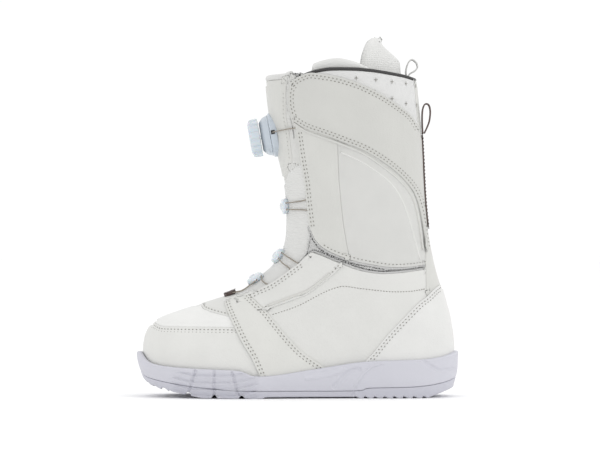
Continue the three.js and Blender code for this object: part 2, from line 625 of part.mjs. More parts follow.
// A smooth plastic guide that turns both halves of the lace round a rivet.
function guideAxis(height) {
  const z = height * gradeZ;
  const up = formPoint(0, z + 0.5).sub(formPoint(0, z - 0.5)).normalize();
  const out = new THREE.Vector3(-up.z, 0, up.x);
  return new THREE.Matrix4().makeBasis(new THREE.Vector3(0, 1, 0), up.clone().negate(), out.clone())
    .setPosition(offsetPoint(0, z, -tongueInset));
}
function roundedRectangle(width, height, corner) {
  const [w, h] = [width / 2 - corner, height / 2 - corner];
  const shape = new THREE.Shape();
  shape.absarc(w, h, corner, 0, PI / 2).absarc(-w, h, corner, PI / 2, PI).absarc(-w, -h, corner, PI, 1.5 * PI);
  shape.absarc(w, -h, corner, 1.5 * PI, 2 * PI);
  return shape;
}
const rod = (radius, low, high, segments = 24) =>
  solid(new THREE.CylinderGeometry(radius, radius, high - low, segments).rotateX(PI / 2).translate(0, 0, (low + high) / 2));
const placed = (body, matrix) => body.transform(matrix.elements);

const guideLayer = layer(-tongueInset + seat, -tongueInset + guide.thickness);
for (const [i, height] of guideHeights.entries()) {
  const matrix = guideAxis(height);
  const shape = roundedRectangle(guide.width, guide.height, guide.corner);
  const block = solid(new THREE.ExtrudeGeometry(shape, { depth: 24, bevelEnabled: false, curveSegments: 2 }).translate(0, 0, -12));
  const hole = placed(rod(guide.rivet + seat, -12, 12, 16), matrix);
  add(`lace_guide_${i + 1}`, placed(block, matrix).intersect(guideLayer).subtract(hole).subtract(laceBores), guidePlastic);
  add(`guide_rivet_${i + 1}`, placed(rod(guide.rivet, 2.6, guide.thickness + 0.5, 16), matrix), steel);
}

function vampLoop() {
  const outline = corners([-68, 60], [-58.9, 60], [-58.9, 120], [-68, 120]);
  return layer(seat, seat + 3.2).intersect(acrossWebbing(outline, 18)).subtract(laceBores);
}
add("vamp_loop", vampLoop(), darkWebbing);

// ---------------------------------------------------------------- reel
const reelSegments = 28;
const boreRadius = windingRadius + 0.8;
const housingFoot = reelFlangeHeight + seat;
const housingTop = housingFoot + housingHeight;
const knobFoot = housingTop + knobGap;
const knobTop = knobFoot + knobHeight;
const pawlHeight = 1.4;
const knobWall = 2;
const capRadius = knobDiameter / 2 - knobWall;
const gripRibs = 20;
const ribDepth = 0.6;
const screwHead = { radius: 4.4, height: 1.6 };

const turned = (profile, segments = reelSegments) =>
  solid(new THREE.LatheGeometry(profile.map((p) => new THREE.Vector2(...p)), segments).rotateX(PI / 2));
const ring = (inner, outer, low, high, chamfer = 0) => turned([
  [inner, low], [outer, low], [outer, high - chamfer], [outer - chamfer, high], [inner, high], [inner, low],
]);

function reelBase() {
  const disc = turned([[0, -9], [reelDiameter / 2, -9], [reelDiameter / 2, reelFlangeHeight - 1], [reelDiameter / 2 - 1, reelFlangeHeight], [0, reelFlangeHeight]]);
  const bore = rod(axleRadius, reelFlangeHeight - 2.2, reelFlangeHeight + 1);
  return placed(disc.subtract(bore), reelMatrix).subtract(formSolid(-tongueInset + seat));
}
function spool() {
  const low = housingFoot;
  const high = housingTop - pawlHeight - 2 * seat;
  const flange = 1.2;
  return turned([
    [axleRadius + seat, low], [windingRadius, low], [windingRadius, low + flange], [spoolRadius, low + flange],
    [spoolRadius, high - flange], [windingRadius, high - flange], [windingRadius, high], [axleRadius + seat, high], [axleRadius + seat, low],
  ]);
}
function knobCap() {
  const roof = 2.4;
  const skirt = knobFoot + 1.2;
  const shell = turned([
    [0, knobTop - 0.6], [screwHead.radius + 1, knobTop - 0.2], [capRadius - 2.4, knobTop], [capRadius, knobTop - 1],
    [capRadius, skirt], [capRadius - 2, skirt], [capRadius - 2, knobTop - roof - 0.6], [0, knobTop - roof - 0.6],
  ].reverse());
  return shell;
}
function knobGrip() {
  const outline = Array.from({ length: gripRibs * 2 }, (_, i) => {
    const radius = knobDiameter / 2 - (i % 2 ? ribDepth : 0);
    const angle = (i / (gripRibs * 2)) * 2 * PI;
    return new THREE.Vector2(radius * cos(angle), radius * sin(angle));
  });
  const depth = knobHeight - 1;
  const ribs = solid(new THREE.ExtrudeGeometry(new THREE.Shape(outline), { depth, bevelEnabled: false }).translate(0, 0, knobFoot));
  const cone = turned([[0, knobFoot], [knobDiameter / 2 + 0.1, knobFoot], [knobDiameter / 2 - 0.5, knobFoot + depth + 0.01], [0, knobFoot + depth + 0.01]]);
  return ribs.intersect(cone).subtract(rod(capRadius + seat, knobFoot - 1, knobTop + 1, reelSegments));
}
// Three sprung arms that catch the ring of teeth in the housing.
function pawlDisc() {
  const high = housingTop - seat;
  return ring(axleRadius + seat, windingRadius - 0.4, high - pawlHeight, high);
}
function axleScrew() {
  const head = knobTop - 2.4 - 0.6 - seat;
  return turned([
    [0, reelFlangeHeight - 1.9], [axleRadius - 0.25, reelFlangeHeight - 1.9], [axleRadius - 0.25, reelFlangeHeight], [axleRadius, reelFlangeHeight + 0.3],
    [axleRadius, head - screwHead.height], [screwHead.radius, head - screwHead.height], [screwHead.radius, head], [0, head],
  ].reverse(), 24);
}

const reelPart = (name, body, material) => add(name, placed(body, reelMatrix), material);
add("reel_base", reelBase(), reelPlastic);
add("reel_housing", placed(ring(boreRadius, housingDiameter / 2, housingFoot, housingTop, 0.8), reelMatrix).subtract(laceBores), reelPlastic);
reelPart("lace_spool", spool(), blackPlastic);
reelPart("pawl_disc", pawlDisc(), blackPlastic);
reelPart("reel_axle", axleScrew(), steel);
reelPart("dial_cap", knobCap(), reelPlastic);
reelPart("dial_grip", knobGrip(), reelPlastic);

// ---------------------------------------------------------------- liner
const linerFace = -panelThickness - linerClearance;
const wall = (z) => THREE.MathUtils.lerp(
  linerFootThickness, linerShaftThickness, THREE.MathUtils.smoothstep(z / gradeZ, 72, 125),
);
const linerFloor = raised(floorLine, boardTop + seat);
const linerInside = formSolid((z) => linerFace - wall(z));
const padFace = linerFace - linerShaftThickness - seat;

// The liner's sock: two halves sewn along the toe and the heel, on a sole of its own.
function linerSide(side) {
  const shell = formSolid(linerFace).intersect(above(raised(linerFloor, linerSole + seat))).intersect(below(linerTop));
  const half = column([[-far, 0], [far, 0], [far, 340 * gradeZ], [-far, 340 * gradeZ]], ...sides[side]);
  return shell.subtract(linerInside).subtract(column(tongueOutline(0))).intersect(half);
}
function linerSolePad() {
  return formSolid(linerFace).intersect(column([...linerFloor, ...reversed(raised(linerFloor, linerSole))]));
}
function linerTongue() {
  const back = -tongueBack - linerClearance;
  const outline = tongueOutline(tongueClearance + 0.2);
  return layer(back - linerTongueThickness, back).intersect(column(outline)).intersect(below(raised(tongueTop, 1)));
}
function footbed() {
  const outline = [...raised(linerFloor, linerSole + seat), ...reversed(raised(linerFloor, linerSole + seat + footbedThickness))];
  return formSolid(linerFace - linerFootThickness - seat).intersect(column(outline));
}
function linerBackPad() {
  return layer(padFace - linerShaftThickness, padFace, [190, 240, 304, 322]).intersect(column(padOutline.concat([[far, 236 * gradeZ]])));
}
// A folded tape at the back of the liner, leaning over the rim of the cuff.
function linerLoop() {
  const outer = smooth([
    [95, 286.3], [94.3, 292], [96.3, 299.5], [100.4, 303.4], [105, 300.5], [106.4, 295.5], [103.5, 291.8], [98.8, 289], [98.2, 286.3],
  ]);
  const inner = smooth([
    [95.9, 292.4], [97.6, 298.6], [100.4, 302], [103.9, 299.6], [105, 295.9], [102.8, 293], [98.4, 290.4],
  ]);
  return acrossWebbing(outer, linerTapeWidth).subtract(acrossWebbing(inner, linerTapeWidth + 2));
}
add("liner_loop", linerLoop(), linerTextile);
add("liner_lateral", linerSide("lateral"), linerTextile);
add("liner_medial", linerSide("medial"), linerTextile);
add("liner_sole", linerSolePad(), linerTextile);
add("liner_tongue", linerTongue(), linerTextile);
add("liner_back_pad", linerBackPad(), linerTextile);
add("footbed", footbed(), linerTextile);

// The middle of the sole's length goes to the origin.
boot.position.x = 2.4 * gradeX;

export default boot;
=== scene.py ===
"""The looks of a dial-laced snowboard boot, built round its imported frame."""

import logging
import math
from dataclasses import dataclass, field
from enum import Enum
from typing import Callable, Sequence

import bmesh
import bpy
import numpy as np
from mathutils import Matrix, Vector


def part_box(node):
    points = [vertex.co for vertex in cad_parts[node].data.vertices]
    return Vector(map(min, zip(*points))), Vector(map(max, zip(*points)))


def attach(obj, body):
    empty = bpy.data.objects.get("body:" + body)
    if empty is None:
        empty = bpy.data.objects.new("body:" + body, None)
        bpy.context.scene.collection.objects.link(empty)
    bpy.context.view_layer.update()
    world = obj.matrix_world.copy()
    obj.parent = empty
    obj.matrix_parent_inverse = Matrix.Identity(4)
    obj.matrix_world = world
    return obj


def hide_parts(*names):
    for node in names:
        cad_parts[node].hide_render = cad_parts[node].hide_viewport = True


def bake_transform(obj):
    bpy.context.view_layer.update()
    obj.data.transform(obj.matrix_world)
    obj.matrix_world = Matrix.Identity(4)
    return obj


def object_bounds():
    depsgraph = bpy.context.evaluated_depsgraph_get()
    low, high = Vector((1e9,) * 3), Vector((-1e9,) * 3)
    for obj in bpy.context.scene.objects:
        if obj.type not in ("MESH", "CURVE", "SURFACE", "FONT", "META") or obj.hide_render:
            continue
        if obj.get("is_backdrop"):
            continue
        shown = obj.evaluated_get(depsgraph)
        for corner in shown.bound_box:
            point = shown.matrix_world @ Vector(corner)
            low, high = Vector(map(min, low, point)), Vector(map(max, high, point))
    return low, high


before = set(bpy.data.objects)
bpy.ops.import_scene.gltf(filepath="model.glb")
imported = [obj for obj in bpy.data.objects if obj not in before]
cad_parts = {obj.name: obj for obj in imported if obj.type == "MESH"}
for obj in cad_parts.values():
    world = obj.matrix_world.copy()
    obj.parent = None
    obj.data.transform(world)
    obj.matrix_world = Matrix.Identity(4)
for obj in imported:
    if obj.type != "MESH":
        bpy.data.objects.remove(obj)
CAD_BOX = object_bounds()

log = logging.getLogger("boot")
MM = 0.001
SHIFT_X = 2.4  # the form's own zero, forward of the frame's
SIDES = {"lateral": -1, "medial": 1}
FAR = 160.0  # past the toe and the heel
SKY = 340.0  # over the top of the liner
Points = np.ndarray


# ---------------------------------------------------------------- the form
FORM_LINES = [
    (-3, -136, 135), (25, -141, 136.5), (40, -141.8, 137), (48, -141.2, 136.8), (56, -139.4, 136),
    (63, -135.5, 134.8), (70, -127, 133.6), (77, -108, 132), (84, -86.5, 130), (88, -73.5, 129),
    (92, -61, 127.8), (99, -52, 126), (110, -38, 122.6), (120, -26.4, 120), (135, -17.6, 117),
    (150, -15.2, 114.6), (176, -15.6, 112), (200, -19, 110.6), (214, -22.2, 110), (239, -27.2, 108.6),
    (257, -31.2, 107), (293, -35, 104), (340, -38, 100),
]
FORM_WIDTHS = [
    (-3, 28, 44, 50, 43, 38.5, 38, 26), (40, 30, 46.5, 52, 45, 41, 40, 28),
    (56, 24.5, 41, 48, 43.5, 40.5, 39.5, 27.5),
    (66, 18.5, 33.5, 42, 42, 40.5, 39, 26.5), (77, 16.5, 28, 37.5, 41, 41, 37.5, 25),
    (90, 16.5, 29, 39.5, 42.5, 41.5, 35, 21), (110, 18, 32, 42.5, 46, 43.5, 34, 18.5),
    (135, 20, 35.5, 46, 49.5, 45.5, 34.5, 18.5), (176, 21.5, 38.5, 49.5, 53, 49.5, 38, 20.5),
    (239, 23, 41.5, 54, 58, 54, 42, 23), (293, 24, 43.5, 56.5, 61, 57, 44, 24.5),
    (340, 24.5, 44.5, 57.5, 62, 58, 45, 25),
]
TOE_TURN = 6.0


def smooth_rows(rows: Sequence[Sequence[float]], heights: Points) -> Points:
    """A table's columns at many heights, on a smooth curve through its rows.

    Args:
        rows: The table, each row starting with its height.
        heights: Where to read it, in mm.

    Returns:
        One row of values for each height.
    """
    table = np.array(rows, float)
    z, values = table[:, 0], table[:, 1:]
    slopes = np.empty_like(values)
    slopes[1:-1] = (values[2:] - values[:-2]) / (z[2:] - z[:-2])[:, None]
    slopes[0] = (values[1] - values[0]) / (z[1] - z[0])
    slopes[-1] = (values[-1] - values[-2]) / (z[-1] - z[-2])
    i = np.clip(np.searchsorted(z, heights) - 1, 0, len(z) - 2)
    span = (z[i + 1] - z[i])[:, None]
    t = np.clip((heights - z[i])[:, None] / span, 0, 1)
    a, b, sa, sb = values[i], values[i + 1], slopes[i] * span, slopes[i + 1] * span
    rise = b - a
    return a + t * (sa + t * (3 * rise - 2 * sa - sb + t * (sa + sb - 2 * rise)))


@dataclass
class Form:
    """The boot's outer shape: a closed outline at each height, from the toe round to the heel."""

    step: float = 0.5
    heights: Points = field(init=False)
    ends: Points = field(init=False)
    widths: Points = field(init=False)

    def __post_init__(self) -> None:
        """Reads the tables once, at close heights."""
        self.heights = np.arange(-3, SKY + self.step, self.step)
        self.ends = smooth_rows(FORM_LINES, self.heights)
        self.widths = smooth_rows(FORM_WIDTHS, self.heights)

    def column(self, table: Points, z: Points) -> Points:
        """The table's values at the heights z."""
        at = np.clip((np.asarray(z, float) + 3) / self.step, 0, len(self.heights) - 1.001)
        i = at.astype(int)
        t = (at - i)[:, None]
        return table[i] * (1 - t) + table[i + 1] * t

    def point(self, angle: Points, z: Points) -> Points:
        """Points of the form at angles from the toe, positive on the inner side, and heights."""
        angle, z = np.asarray(angle, float), np.asarray(z, float)
        turn = np.mod(angle + math.pi, 2 * math.pi) - math.pi
        ends = self.column(self.ends, z)
        stations = self.column(self.widths, z)
        zero = np.zeros((len(z), 1))
        full = np.hstack([-stations[:, :1], zero, stations, zero, -stations[:, -1:]])
        along = np.abs(turn) / math.pi * 8
        i = np.clip(along.astype(int), 0, 7)
        t = along - i
        row = np.arange(len(z))
        p, q, r, s = (full[row, i + k] for k in range(4))
        width = q + 0.5 * t * (r - p + t * (2 * p - 5 * q + 4 * r - s + t * (3 * (q - r) + s - p)))
        x = ends.mean(1) - (ends[:, 1] - ends[:, 0]) / 2 * np.cos(turn)
        forward = np.clip((40 - x) / 185, 0, 1)
        fade = np.clip((z - 70) / 60, 0, 1)
        middle = TOE_TURN * (forward**2 - 0.12) * (1 - fade * fade * (3 - 2 * fade))
        return np.stack([x, np.sign(turn) * width + middle, z], 1)

    def normal(self, angle: Points, z: Points) -> Points:
        """Outward directions of the form."""
        angle, z = np.asarray(angle, float), np.asarray(z, float)
        around = self.point(angle + 0.01, z) - self.point(angle - 0.01, z)
        up = self.point(angle, z + 0.5) - self.point(angle, z - 0.5)
        out = np.cross(up, around)
        return out / np.linalg.norm(out, axis=1, keepdims=True)

    def place(self, angle: Points, z: Points, lift: Points | float) -> Points:
        """Points lifted off the form by a distance, in mm of the form."""
        lift = np.broadcast_to(np.asarray(lift, float), np.shape(z))
        return self.point(angle, z) + self.normal(angle, z) * lift[:, None]

    def angle_at(self, x: Points, z: Points) -> Points:
        """The angle of the form seen at x, z from the side."""
        ends = self.column(self.ends, z)
        half = (ends[:, 1] - ends[:, 0]) / 2
        return np.arccos(np.clip((ends.mean(1) - np.asarray(x)) / half, -1, 1))

    def on_side(self, x: float, z: float, lift: float, side: int) -> Vector:
        """One point seen at x, z from the side, on the outer (-1) or inner (1) side, in metres."""
        angle = side * self.angle_at(np.array([x]), np.array([z]))
        return metres(self.place(angle, np.array([z]), lift)[0])

    def at(self, degrees: float, z: float, lift: float) -> Vector:
        """One point at an angle from the toe in degrees, in metres."""
        return metres(self.place(np.radians([degrees]), np.array([z]), lift)[0])


FORM = Form()


def metres(point: Sequence[float]) -> Vector:
    """A point of the form in the frame's metres."""
    return Vector(((point[0] + SHIFT_X) * MM, point[1] * MM, point[2] * MM))


# ---------------------------------------------------------------- pattern lines, in side view
LINES: dict[str, list[tuple[float, float]]] = {
    "floor": [
        (-FAR, 30), (-142, 26.5), (-125, 21.5), (-100, 16), (-70, 13), (-40, 12.5), (20, 16),
        (60, 20), (FAR, 22),
    ],
    "rim": [
        (-FAR, 46), (-143, 41), (-131, 31), (-105, 27.3), (-59, 25.3), (-49, 23.2), (-41, 20.3),
        (-22, 20.8), (20, 27.3),
        (59, 32.8), (113, 35), (137, 41), (FAR, 52),
    ],
    "outsole_top": [
        (-FAR, 34), (-141, 23.5), (-134, 18), (-113, 13.2), (-90, 9.8), (-60, 7.2), (-31, 6.6),
        (47, 6.6), (62, 9),
        (100, 10), (125, 13.5), (143, 21), (FAR, 34),
    ],
    "strap_middle": [(-58.5, 97), (-56, 89), (-47, 76), (-37.5, 61.5), (-25, 45), (-11, 30), (0, 12)],
    "rand": [(-FAR, 70), (-133, 66.8), (-124.5, 63.8), (-110, 63.4), (-61, 63.2), (-37.5, 61.5)],
    "throat": [(-89.5, 92), (-88, 81), (-81.5, 77.2), (-69.8, 74), (-60, 72.5), (-47, 76)],
    "strap_front": [(-67.5, 84), (-64, 75), (-58, 62.5), (-50.4, 48), (-42.6, 35), (-34, 15)],
    "strap_back": [(-46.4, 91.6), (-31, 78.3), (-17, 61.5), (0, 43.2), (20.7, 28.3), (34, 18)],
    "opening": [(-56, 89), (-46.4, 91.6), (-36.6, 96.4), (-22, 104), (0, 120)],
    "peak": [(0, 120), (5.5, 125.8), (10.8, 129.6)],
    "ankle": [
        (10.8, 129.6), (20, 126.3), (37.8, 118.8), (53, 113.4), (70.7, 110.6), (88.3, 111.2),
        (112.5, 114.4),
    ],
    "ankle_corner": [(0, 120), (4, 128), (6.4, 138), (7.9, 152.7)],
    "cuff_front": [
        (-8, 280), (-9.6, 271), (-9.2, 259), (-6.4, 247), (-3.5, 236.5), (0, 212), (3.4, 192),
        (5.7, 170.6), (7.9, 152.7),
    ],
    "cuff_corner": [(7.9, 152.7), (12.5, 142), (18.9, 134.5)],
    "cuff_bottom": [
        (18.9, 134.5), (27.8, 129.4), (44, 123.2), (60.6, 119.4), (80.8, 116.4), (100, 117),
        (112.5, 118.8),
    ],
    "cuff_top": [
        (-FAR, 279), (-20, 279), (-2, 285), (5.4, 288.6), (15.7, 291.4), (28, 293), (46.7, 293),
        (63, 292), (78.7, 290),
        (93, 288), (112, 285), (FAR, 284),
    ],
    "overlay_upper": [
        (-8, 280), (-2, 284.4), (7.4, 288.2), (17.7, 287.6), (36.4, 284), (55, 277.7),
        (73.5, 268.5), (88, 259),
        (98.3, 251), (105.4, 240),
    ],
    "overlay_lower": [
        (-6.4, 247), (5.4, 239.4), (21.9, 233.3), (36.4, 227.7), (57, 219.3), (75.8, 207.7),
        (91, 195), (101, 182),
        (107, 164), (112.4, 132),
    ],
    "collar_seam": [
        (-8, 280), (6.4, 282.2), (16.7, 281.6), (35.4, 278), (54, 271.7), (72.5, 262.5), (87, 253),
        (97.3, 245), (106, 234),
    ],
    "eyestay_lower": [(-31, 78.3), (0, 89.4), (8.7, 93.8), (28.4, 109), (37.8, 118.8)],
    "cuff_seam": [(35.4, 278), (33.5, 232), (34, 201.4), (36, 176), (39, 150.8), (44, 123.2)],
    "heel": [
        (56, 10), (56, 29), (65.6, 41.4), (78.3, 57), (91.3, 70.7), (103.3, 82.8), (112, 89.6),
        (126.6, 101), (FAR, 112),
    ],
    "tongue_top": [(-FAR, 281), (-31, 281.5), (-14, 283.5), (0, 285.5), (30, 288), (FAR, 290)],
    "facing": [(-13.5, 300), (-14.5, 272), (-14.5, 250), (-12.6, 240), (-9.5, 212), (-12, 204)],
    "facing_lower": [(-12, 204), (-18, 192), (-30, 186), (-60, 184)],
    "liner_top": [
        (-FAR, 280), (-8, 286), (10, 297), (31, 301.5), (48, 299), (62, 294), (80, 286), (FAR, 284)
    ],
    "pad": [
        (58, 236), (57, 270), (61.5, 298), (67.5, 314), (75.6, 320.4), (82, 320.4), (87.5, 313),
        (130, 290),
    ],
    "back_seam": [
        (96, 340), (101.3, 293), (105.4, 240), (106, 234), (109.2, 190), (111.3, 157), (112.4, 132),
        (112.5, 118.8),
        (112.5, 114.4), (112.5, 92),
    ],
    "lace_ridge": [(-28, 82), (0, 92.6), (10, 97.5), (27, 111)],
    "dotted": [
        (-25, 74), (-2, 82), (20, 93.6), (31, 98), (39, 99.6), (51, 98), (67.5, 96), (83, 94.6),
        (99, 95), (112, 97),
    ],
    "side_band": [
        (36, 218), (50.6, 211.5), (65.6, 202.5), (81, 190), (91, 174.6), (98, 155.7), (107, 123.3)
    ],
    "strap_nose": [(-5.2, 279.6), (-8.6, 275), (-9.6, 268), (-9.2, 259), (-7, 250)],
    "strap_bead": [
        (-5, 244.3), (5.9, 236.8), (22.4, 230.6), (36.9, 225), (56.4, 216.7), (74, 205),
        (88.8, 192.8), (98.6, 180.6),
        (104.4, 163.4), (109.6, 132),
    ],
}
STEPS = 8  # samples between two given points of a line


def curve(points: Sequence[tuple[float, float]], steps: int = STEPS) -> Points:
    """A smooth line through points.

    Args:
        points: The points, as x, z in mm.
        steps: How many samples lie between two of them.

    Returns:
        The samples, one a row.
    """
    p = np.array(points, float)
    if len(p) < 3:
        t = np.linspace(0, 1, steps * (len(p) - 1) + 1)[:, None]
        return p[0] * (1 - t) + p[-1] * t
    out = []
    for i in range(len(p) - 1):
        a, b = p[i], p[i + 1]
        before, after = p[max(i - 1, 0)], p[min(i + 2, len(p) - 1)]
        t = np.arange(steps)[:, None] / steps
        va, vb = (b - before) / 2, (after - a) / 2
        out.append((2 * a - 2 * b + va + vb) * t**3 + (-3 * a + 3 * b - 2 * va - vb) * t**2 + va * t + a)
    return np.vstack([*out, p[-1:]])


def seam(name: str, start: int = 0, end: int | None = None, back: bool = False) -> Points:
    """A named line, or the stretch of it between two of its given points, perhaps from its end."""
    line = curve(LINES[name])
    line = line[start * STEPS : (len(line) if end is None else end * STEPS + 1)]
    return line[::-1] if back else line


def height_of(name: str, x: Points, by: float = 0.0) -> Points:
    """The height of a named line at x."""
    line = seam(name)
    return np.interp(x, line[:, 0], line[:, 1]) + by


def chain(*lines: Points | Sequence[tuple[float, float]]) -> Points:
    """Lines joined end to end, without the points they share."""
    points = np.vstack([np.array(line, float).reshape(-1, 2) for line in lines])
    apart = np.linalg.norm(points - np.roll(points, 1, axis=0), axis=1) > 0.01
    return points[apart]


def moved_in(line: Points, distance: float) -> Points:
    """A line moved to its left by a distance, as seen from the side."""
    along = np.gradient(line, axis=0)
    along /= np.linalg.norm(along, axis=1, keepdims=True) + 1e-9
    return line + distance * np.stack([-along[:, 1], along[:, 0]], 1)


# ---------------------------------------------------------------- meshes and objects
def new_object(
    name: str, bm: bmesh.types.BMesh, material: bpy.types.Material, smooth: bool = True
) -> bpy.types.Object:
    """Turns a bmesh into a linked object at the origin.

    Args:
        name: The piece's name.
        bm: Its mesh, which is freed.
        material: Its finish.
        smooth: Whether its faces are shaded as a curved surface.

    Returns:
        The object.
    """
    name = name.replace(" ", "_")
    mesh = bpy.data.meshes.new(name)
    bm.to_mesh(mesh)
    bm.free()
    mesh.materials.append(material)
    mesh.shade_smooth() if smooth else mesh.shade_flat()
    piece = bpy.data.objects.new(name, mesh)
    bpy.context.scene.collection.objects.link(piece)
    return piece


def dress(piece: bpy.types.Object, body: str, slot: str, *nodes: str) -> bpy.types.Object:
    """Puts a piece on its body and hides the solids it stands for."""
    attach(piece, body)
    if nodes:
        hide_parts(*nodes)
    log.info("%s: %d faces on %s", piece.name, len(piece.data.polygons), body)
    return piece


# ---------------------------------------------------------------- panels of the upper
class Across(Enum):
    """How a panel lies: on one side of the boot, or whole across the toe or the heel."""

    OUTER = -1
    TOE = 0
    INNER = 1
    HEEL = 2


FRONT_ARC = np.concatenate([[0], np.cumsum(np.hypot(np.diff(FORM.ends[:, 0]), np.diff(FORM.heights)))])


def thickened_outline(outline: Points, step: float = 1.3) -> Points:
    """A closed outline with points no further apart than step."""
    out = []
    for a, b in zip(outline, np.roll(outline, -1, axis=0)):
        count = max(1, int(np.linalg.norm(b - a) / step))
        t = np.arange(count)[:, None] / count
        out.append(a * (1 - t) + b * t)
    return np.vstack(out)


def nearest(points: Points, others: Points) -> Points:
    """The distance from each point to the nearest of the others, in mm."""
    best = np.empty(len(points))
    for i in range(0, len(points), 2000):
        gap = points[i : i + 2000, None, :] - others[None, :, :]
        best[i : i + 2000] = np.sqrt((gap**2).sum(2).min(1))
    return best


@dataclass
class Panel:
    """A cut piece of leather or cloth laid on the form.

    Attributes:
        name: The piece's name.
        outline: Its closed outline in side view, in mm.
        across: Where it lies.
        inner: Distance of its underside from the form, in mm.
        outer: Distance of its face from the form, in mm.
        roll: Radius of its turned edge.
        puff: How much its middle is padded out.
        dip: How deep its stitching pulls it in, near the edge.
        sewn: How far from the edge the stitching lies.
        radius: Millimetres a radian round the form is taken to be.
        by_front: Whether heights are measured along the front of the form.
        step: Size of its squares.
        margin: How far inside its outline it is cut.
        relief: More lift at x, z and at a distance from the edge.
    """

    name: str
    outline: Points
    across: Across
    inner: float
    outer: float
    roll: float = 0.7
    margin: float = 0.15
    puff: float = 0.0
    dip: float = 0.0
    sewn: float = 3.2
    radius: float = 75.0
    by_front: bool = False
    step: float = 2.6
    relief: Callable[[Points, Points, Points], Points] | None = None

    def flat(self, z: Points) -> Points:
        """Heights on the cutting table."""
        return np.interp(z, FORM.heights, FRONT_ARC) if self.by_front else z

    def height(self, v: Points) -> Points:
        """Heights on the form."""
        return np.interp(v, FRONT_ARC, FORM.heights) if self.by_front else v

    def angle(self, u: Points) -> Points:
        """Angles on the form."""
        if self.across is Across.HEEL:
            return math.pi + u / self.radius
        return u / self.radius * (self.across.value or 1)

    def cut(self) -> Points:
        """The outline on the cutting table, closed along the form's own edge of sight."""
        points = thickened_outline(np.asarray(self.outline, float))
        z = points[:, 1]
        ends = FORM.column(FORM.ends, z)
        off = np.where(
            points[:, 0] <= ends[:, 0] + 0.02, -1, np.where(points[:, 0] >= ends[:, 1] - 0.02, 1, 0)
        )
        start = int(np.argmax((off == 0) & (np.roll(off, 1) != 0))) if (off != 0).any() else 0
        points, off = np.roll(points, -start, axis=0), np.roll(off, -start)
        theta = FORM.angle_at(points[:, 0], points[:, 1])
        whole = {Across.TOE: -1, Across.HEEL: 1}.get(self.across)
        rows: list[Points] = []
        i = 0
        while i < len(points):
            j = i
            while j < len(points) and off[j] == off[i]:
                j += 1
            if off[i] == 0:
                rows.append(np.stack([theta[i:j], points[i:j, 1]], 1))
            elif off[i] != whole:
                low, high = points[i, 1], points[j - 1, 1]
                count = max(2, int(abs(high - low) / 2))
                edge = 0.0 if off[i] < 0 else math.pi
                rows.append(np.stack([np.full(count, edge), np.linspace(low, high, count)], 1))
            i = j
        cut = np.vstack(rows)
        if whole == 1:
            cut[:, 0] -= math.pi
        cut = np.stack([cut[:, 0] * self.radius, self.flat(cut[:, 1])], 1)
        if whole is not None:
            cut = np.vstack([cut, (cut * [-1, 1])[::-1]])
        apart = np.linalg.norm(cut - np.roll(cut, 1, axis=0), axis=1) > 0.25
        return cut[apart]

    def mesh(self) -> tuple[bmesh.types.BMesh, Points]:
        """The panel's closed mesh, and the flat place of each vertex for its pattern."""
        cut = self.cut()
        bm = bmesh.new()
        face = bm.faces.new([bm.verts.new((u, v, 0)) for u, v in cut])
        if face.normal.z < 0:
            face.normal_flip()
        bmesh.ops.inset_region(
            bm, faces=[face], thickness=self.margin, use_even_offset=True, use_boundary=True
        )
        bmesh.ops.delete(bm, geom=[f for f in bm.faces if f != face], context="FACES")
        cut = np.array([v.co[:2] for v in face.verts])
        for width in (0.3, 0.5, 0.9, 1.3, 1.3):
            bmesh.ops.inset_region(
                bm, faces=[face], thickness=width, use_even_offset=False, use_boundary=True
            )
        inside = [face, *face.verts, *face.edges]
        low, high = cut.min(0), cut.max(0)
        for axis, normal in ((0, (1, 0, 0)), (1, (0, 1, 0))):
            for at in np.arange(low[axis] + self.step / 2, high[axis], self.step):
                place = (at, 0, 0) if axis == 0 else (0, at, 0)
                inside = bmesh.ops.bisect_plane(bm, geom=inside, plane_co=place, plane_no=normal)["geom"]
        made = bmesh.ops.extrude_face_region(bm, geom=bm.faces[:], use_keep_orig=True)["geom"]
        top = {v for v in made if isinstance(v, bmesh.types.BMVert)}
        bm.verts.index_update()
        table = np.array([v.co for v in bm.verts])
        upper = np.array([v in top for v in bm.verts])
        angle, z = self.angle(table[:, 0]), self.height(table[:, 1])
        edge = FORM.point(self.angle(cut[:, 0]), self.height(cut[:, 1]))
        spot = FORM.point(angle, z)
        away = nearest(spot, edge)
        lift = np.where(upper, self.face(spot[:, 0], z, away), self.inner)
        places = FORM.place(angle, z, lift)
        places[:, 0] += SHIFT_X
        for vert, place in zip(bm.verts, places * MM):
            vert.co = place
        bmesh.ops.recalc_face_normals(bm, faces=bm.faces[:])
        around = angle * self.radius * 0.85
        return bm, np.stack([around, self.flat(z)], 1)

    def face(self, x: Points, z: Points, away: Points) -> Points:
        """The height of the panel's face over the form."""
        turn = 1 - np.clip(away / self.roll, 0, 1)
        lift = self.outer - self.roll * (1 - np.sqrt(1 - turn**2))
        lift = lift + self.puff * (1 - np.exp(-np.maximum(away - self.sewn, 0) / 9))
        lift = lift - self.dip * np.exp(-(((away - self.sewn) / 1.3) ** 2))
        if self.relief is not None:
            lift = lift + self.relief(x, z, away)
        return lift

    def build(self, material: bpy.types.Material) -> bpy.types.Object:
        """Makes the panel's object, with its pattern laid flat."""
        bm, table = self.mesh()
        piece = new_object(self.name, bm, material)
        lay_pattern(piece, table)
        return piece


def lay_pattern(piece: bpy.types.Object, table: Points) -> None:
    """Gives each corner of a mesh the flat place of its vertex, in mm."""
    mesh = piece.data
    uv = mesh.uv_layers.new(name="cloth")
    index = np.empty(len(mesh.loops), np.int32)
    mesh.loops.foreach_get("vertex_index", index)
    uv.data.foreach_set("uv", table[index].astype(np.float32).ravel())


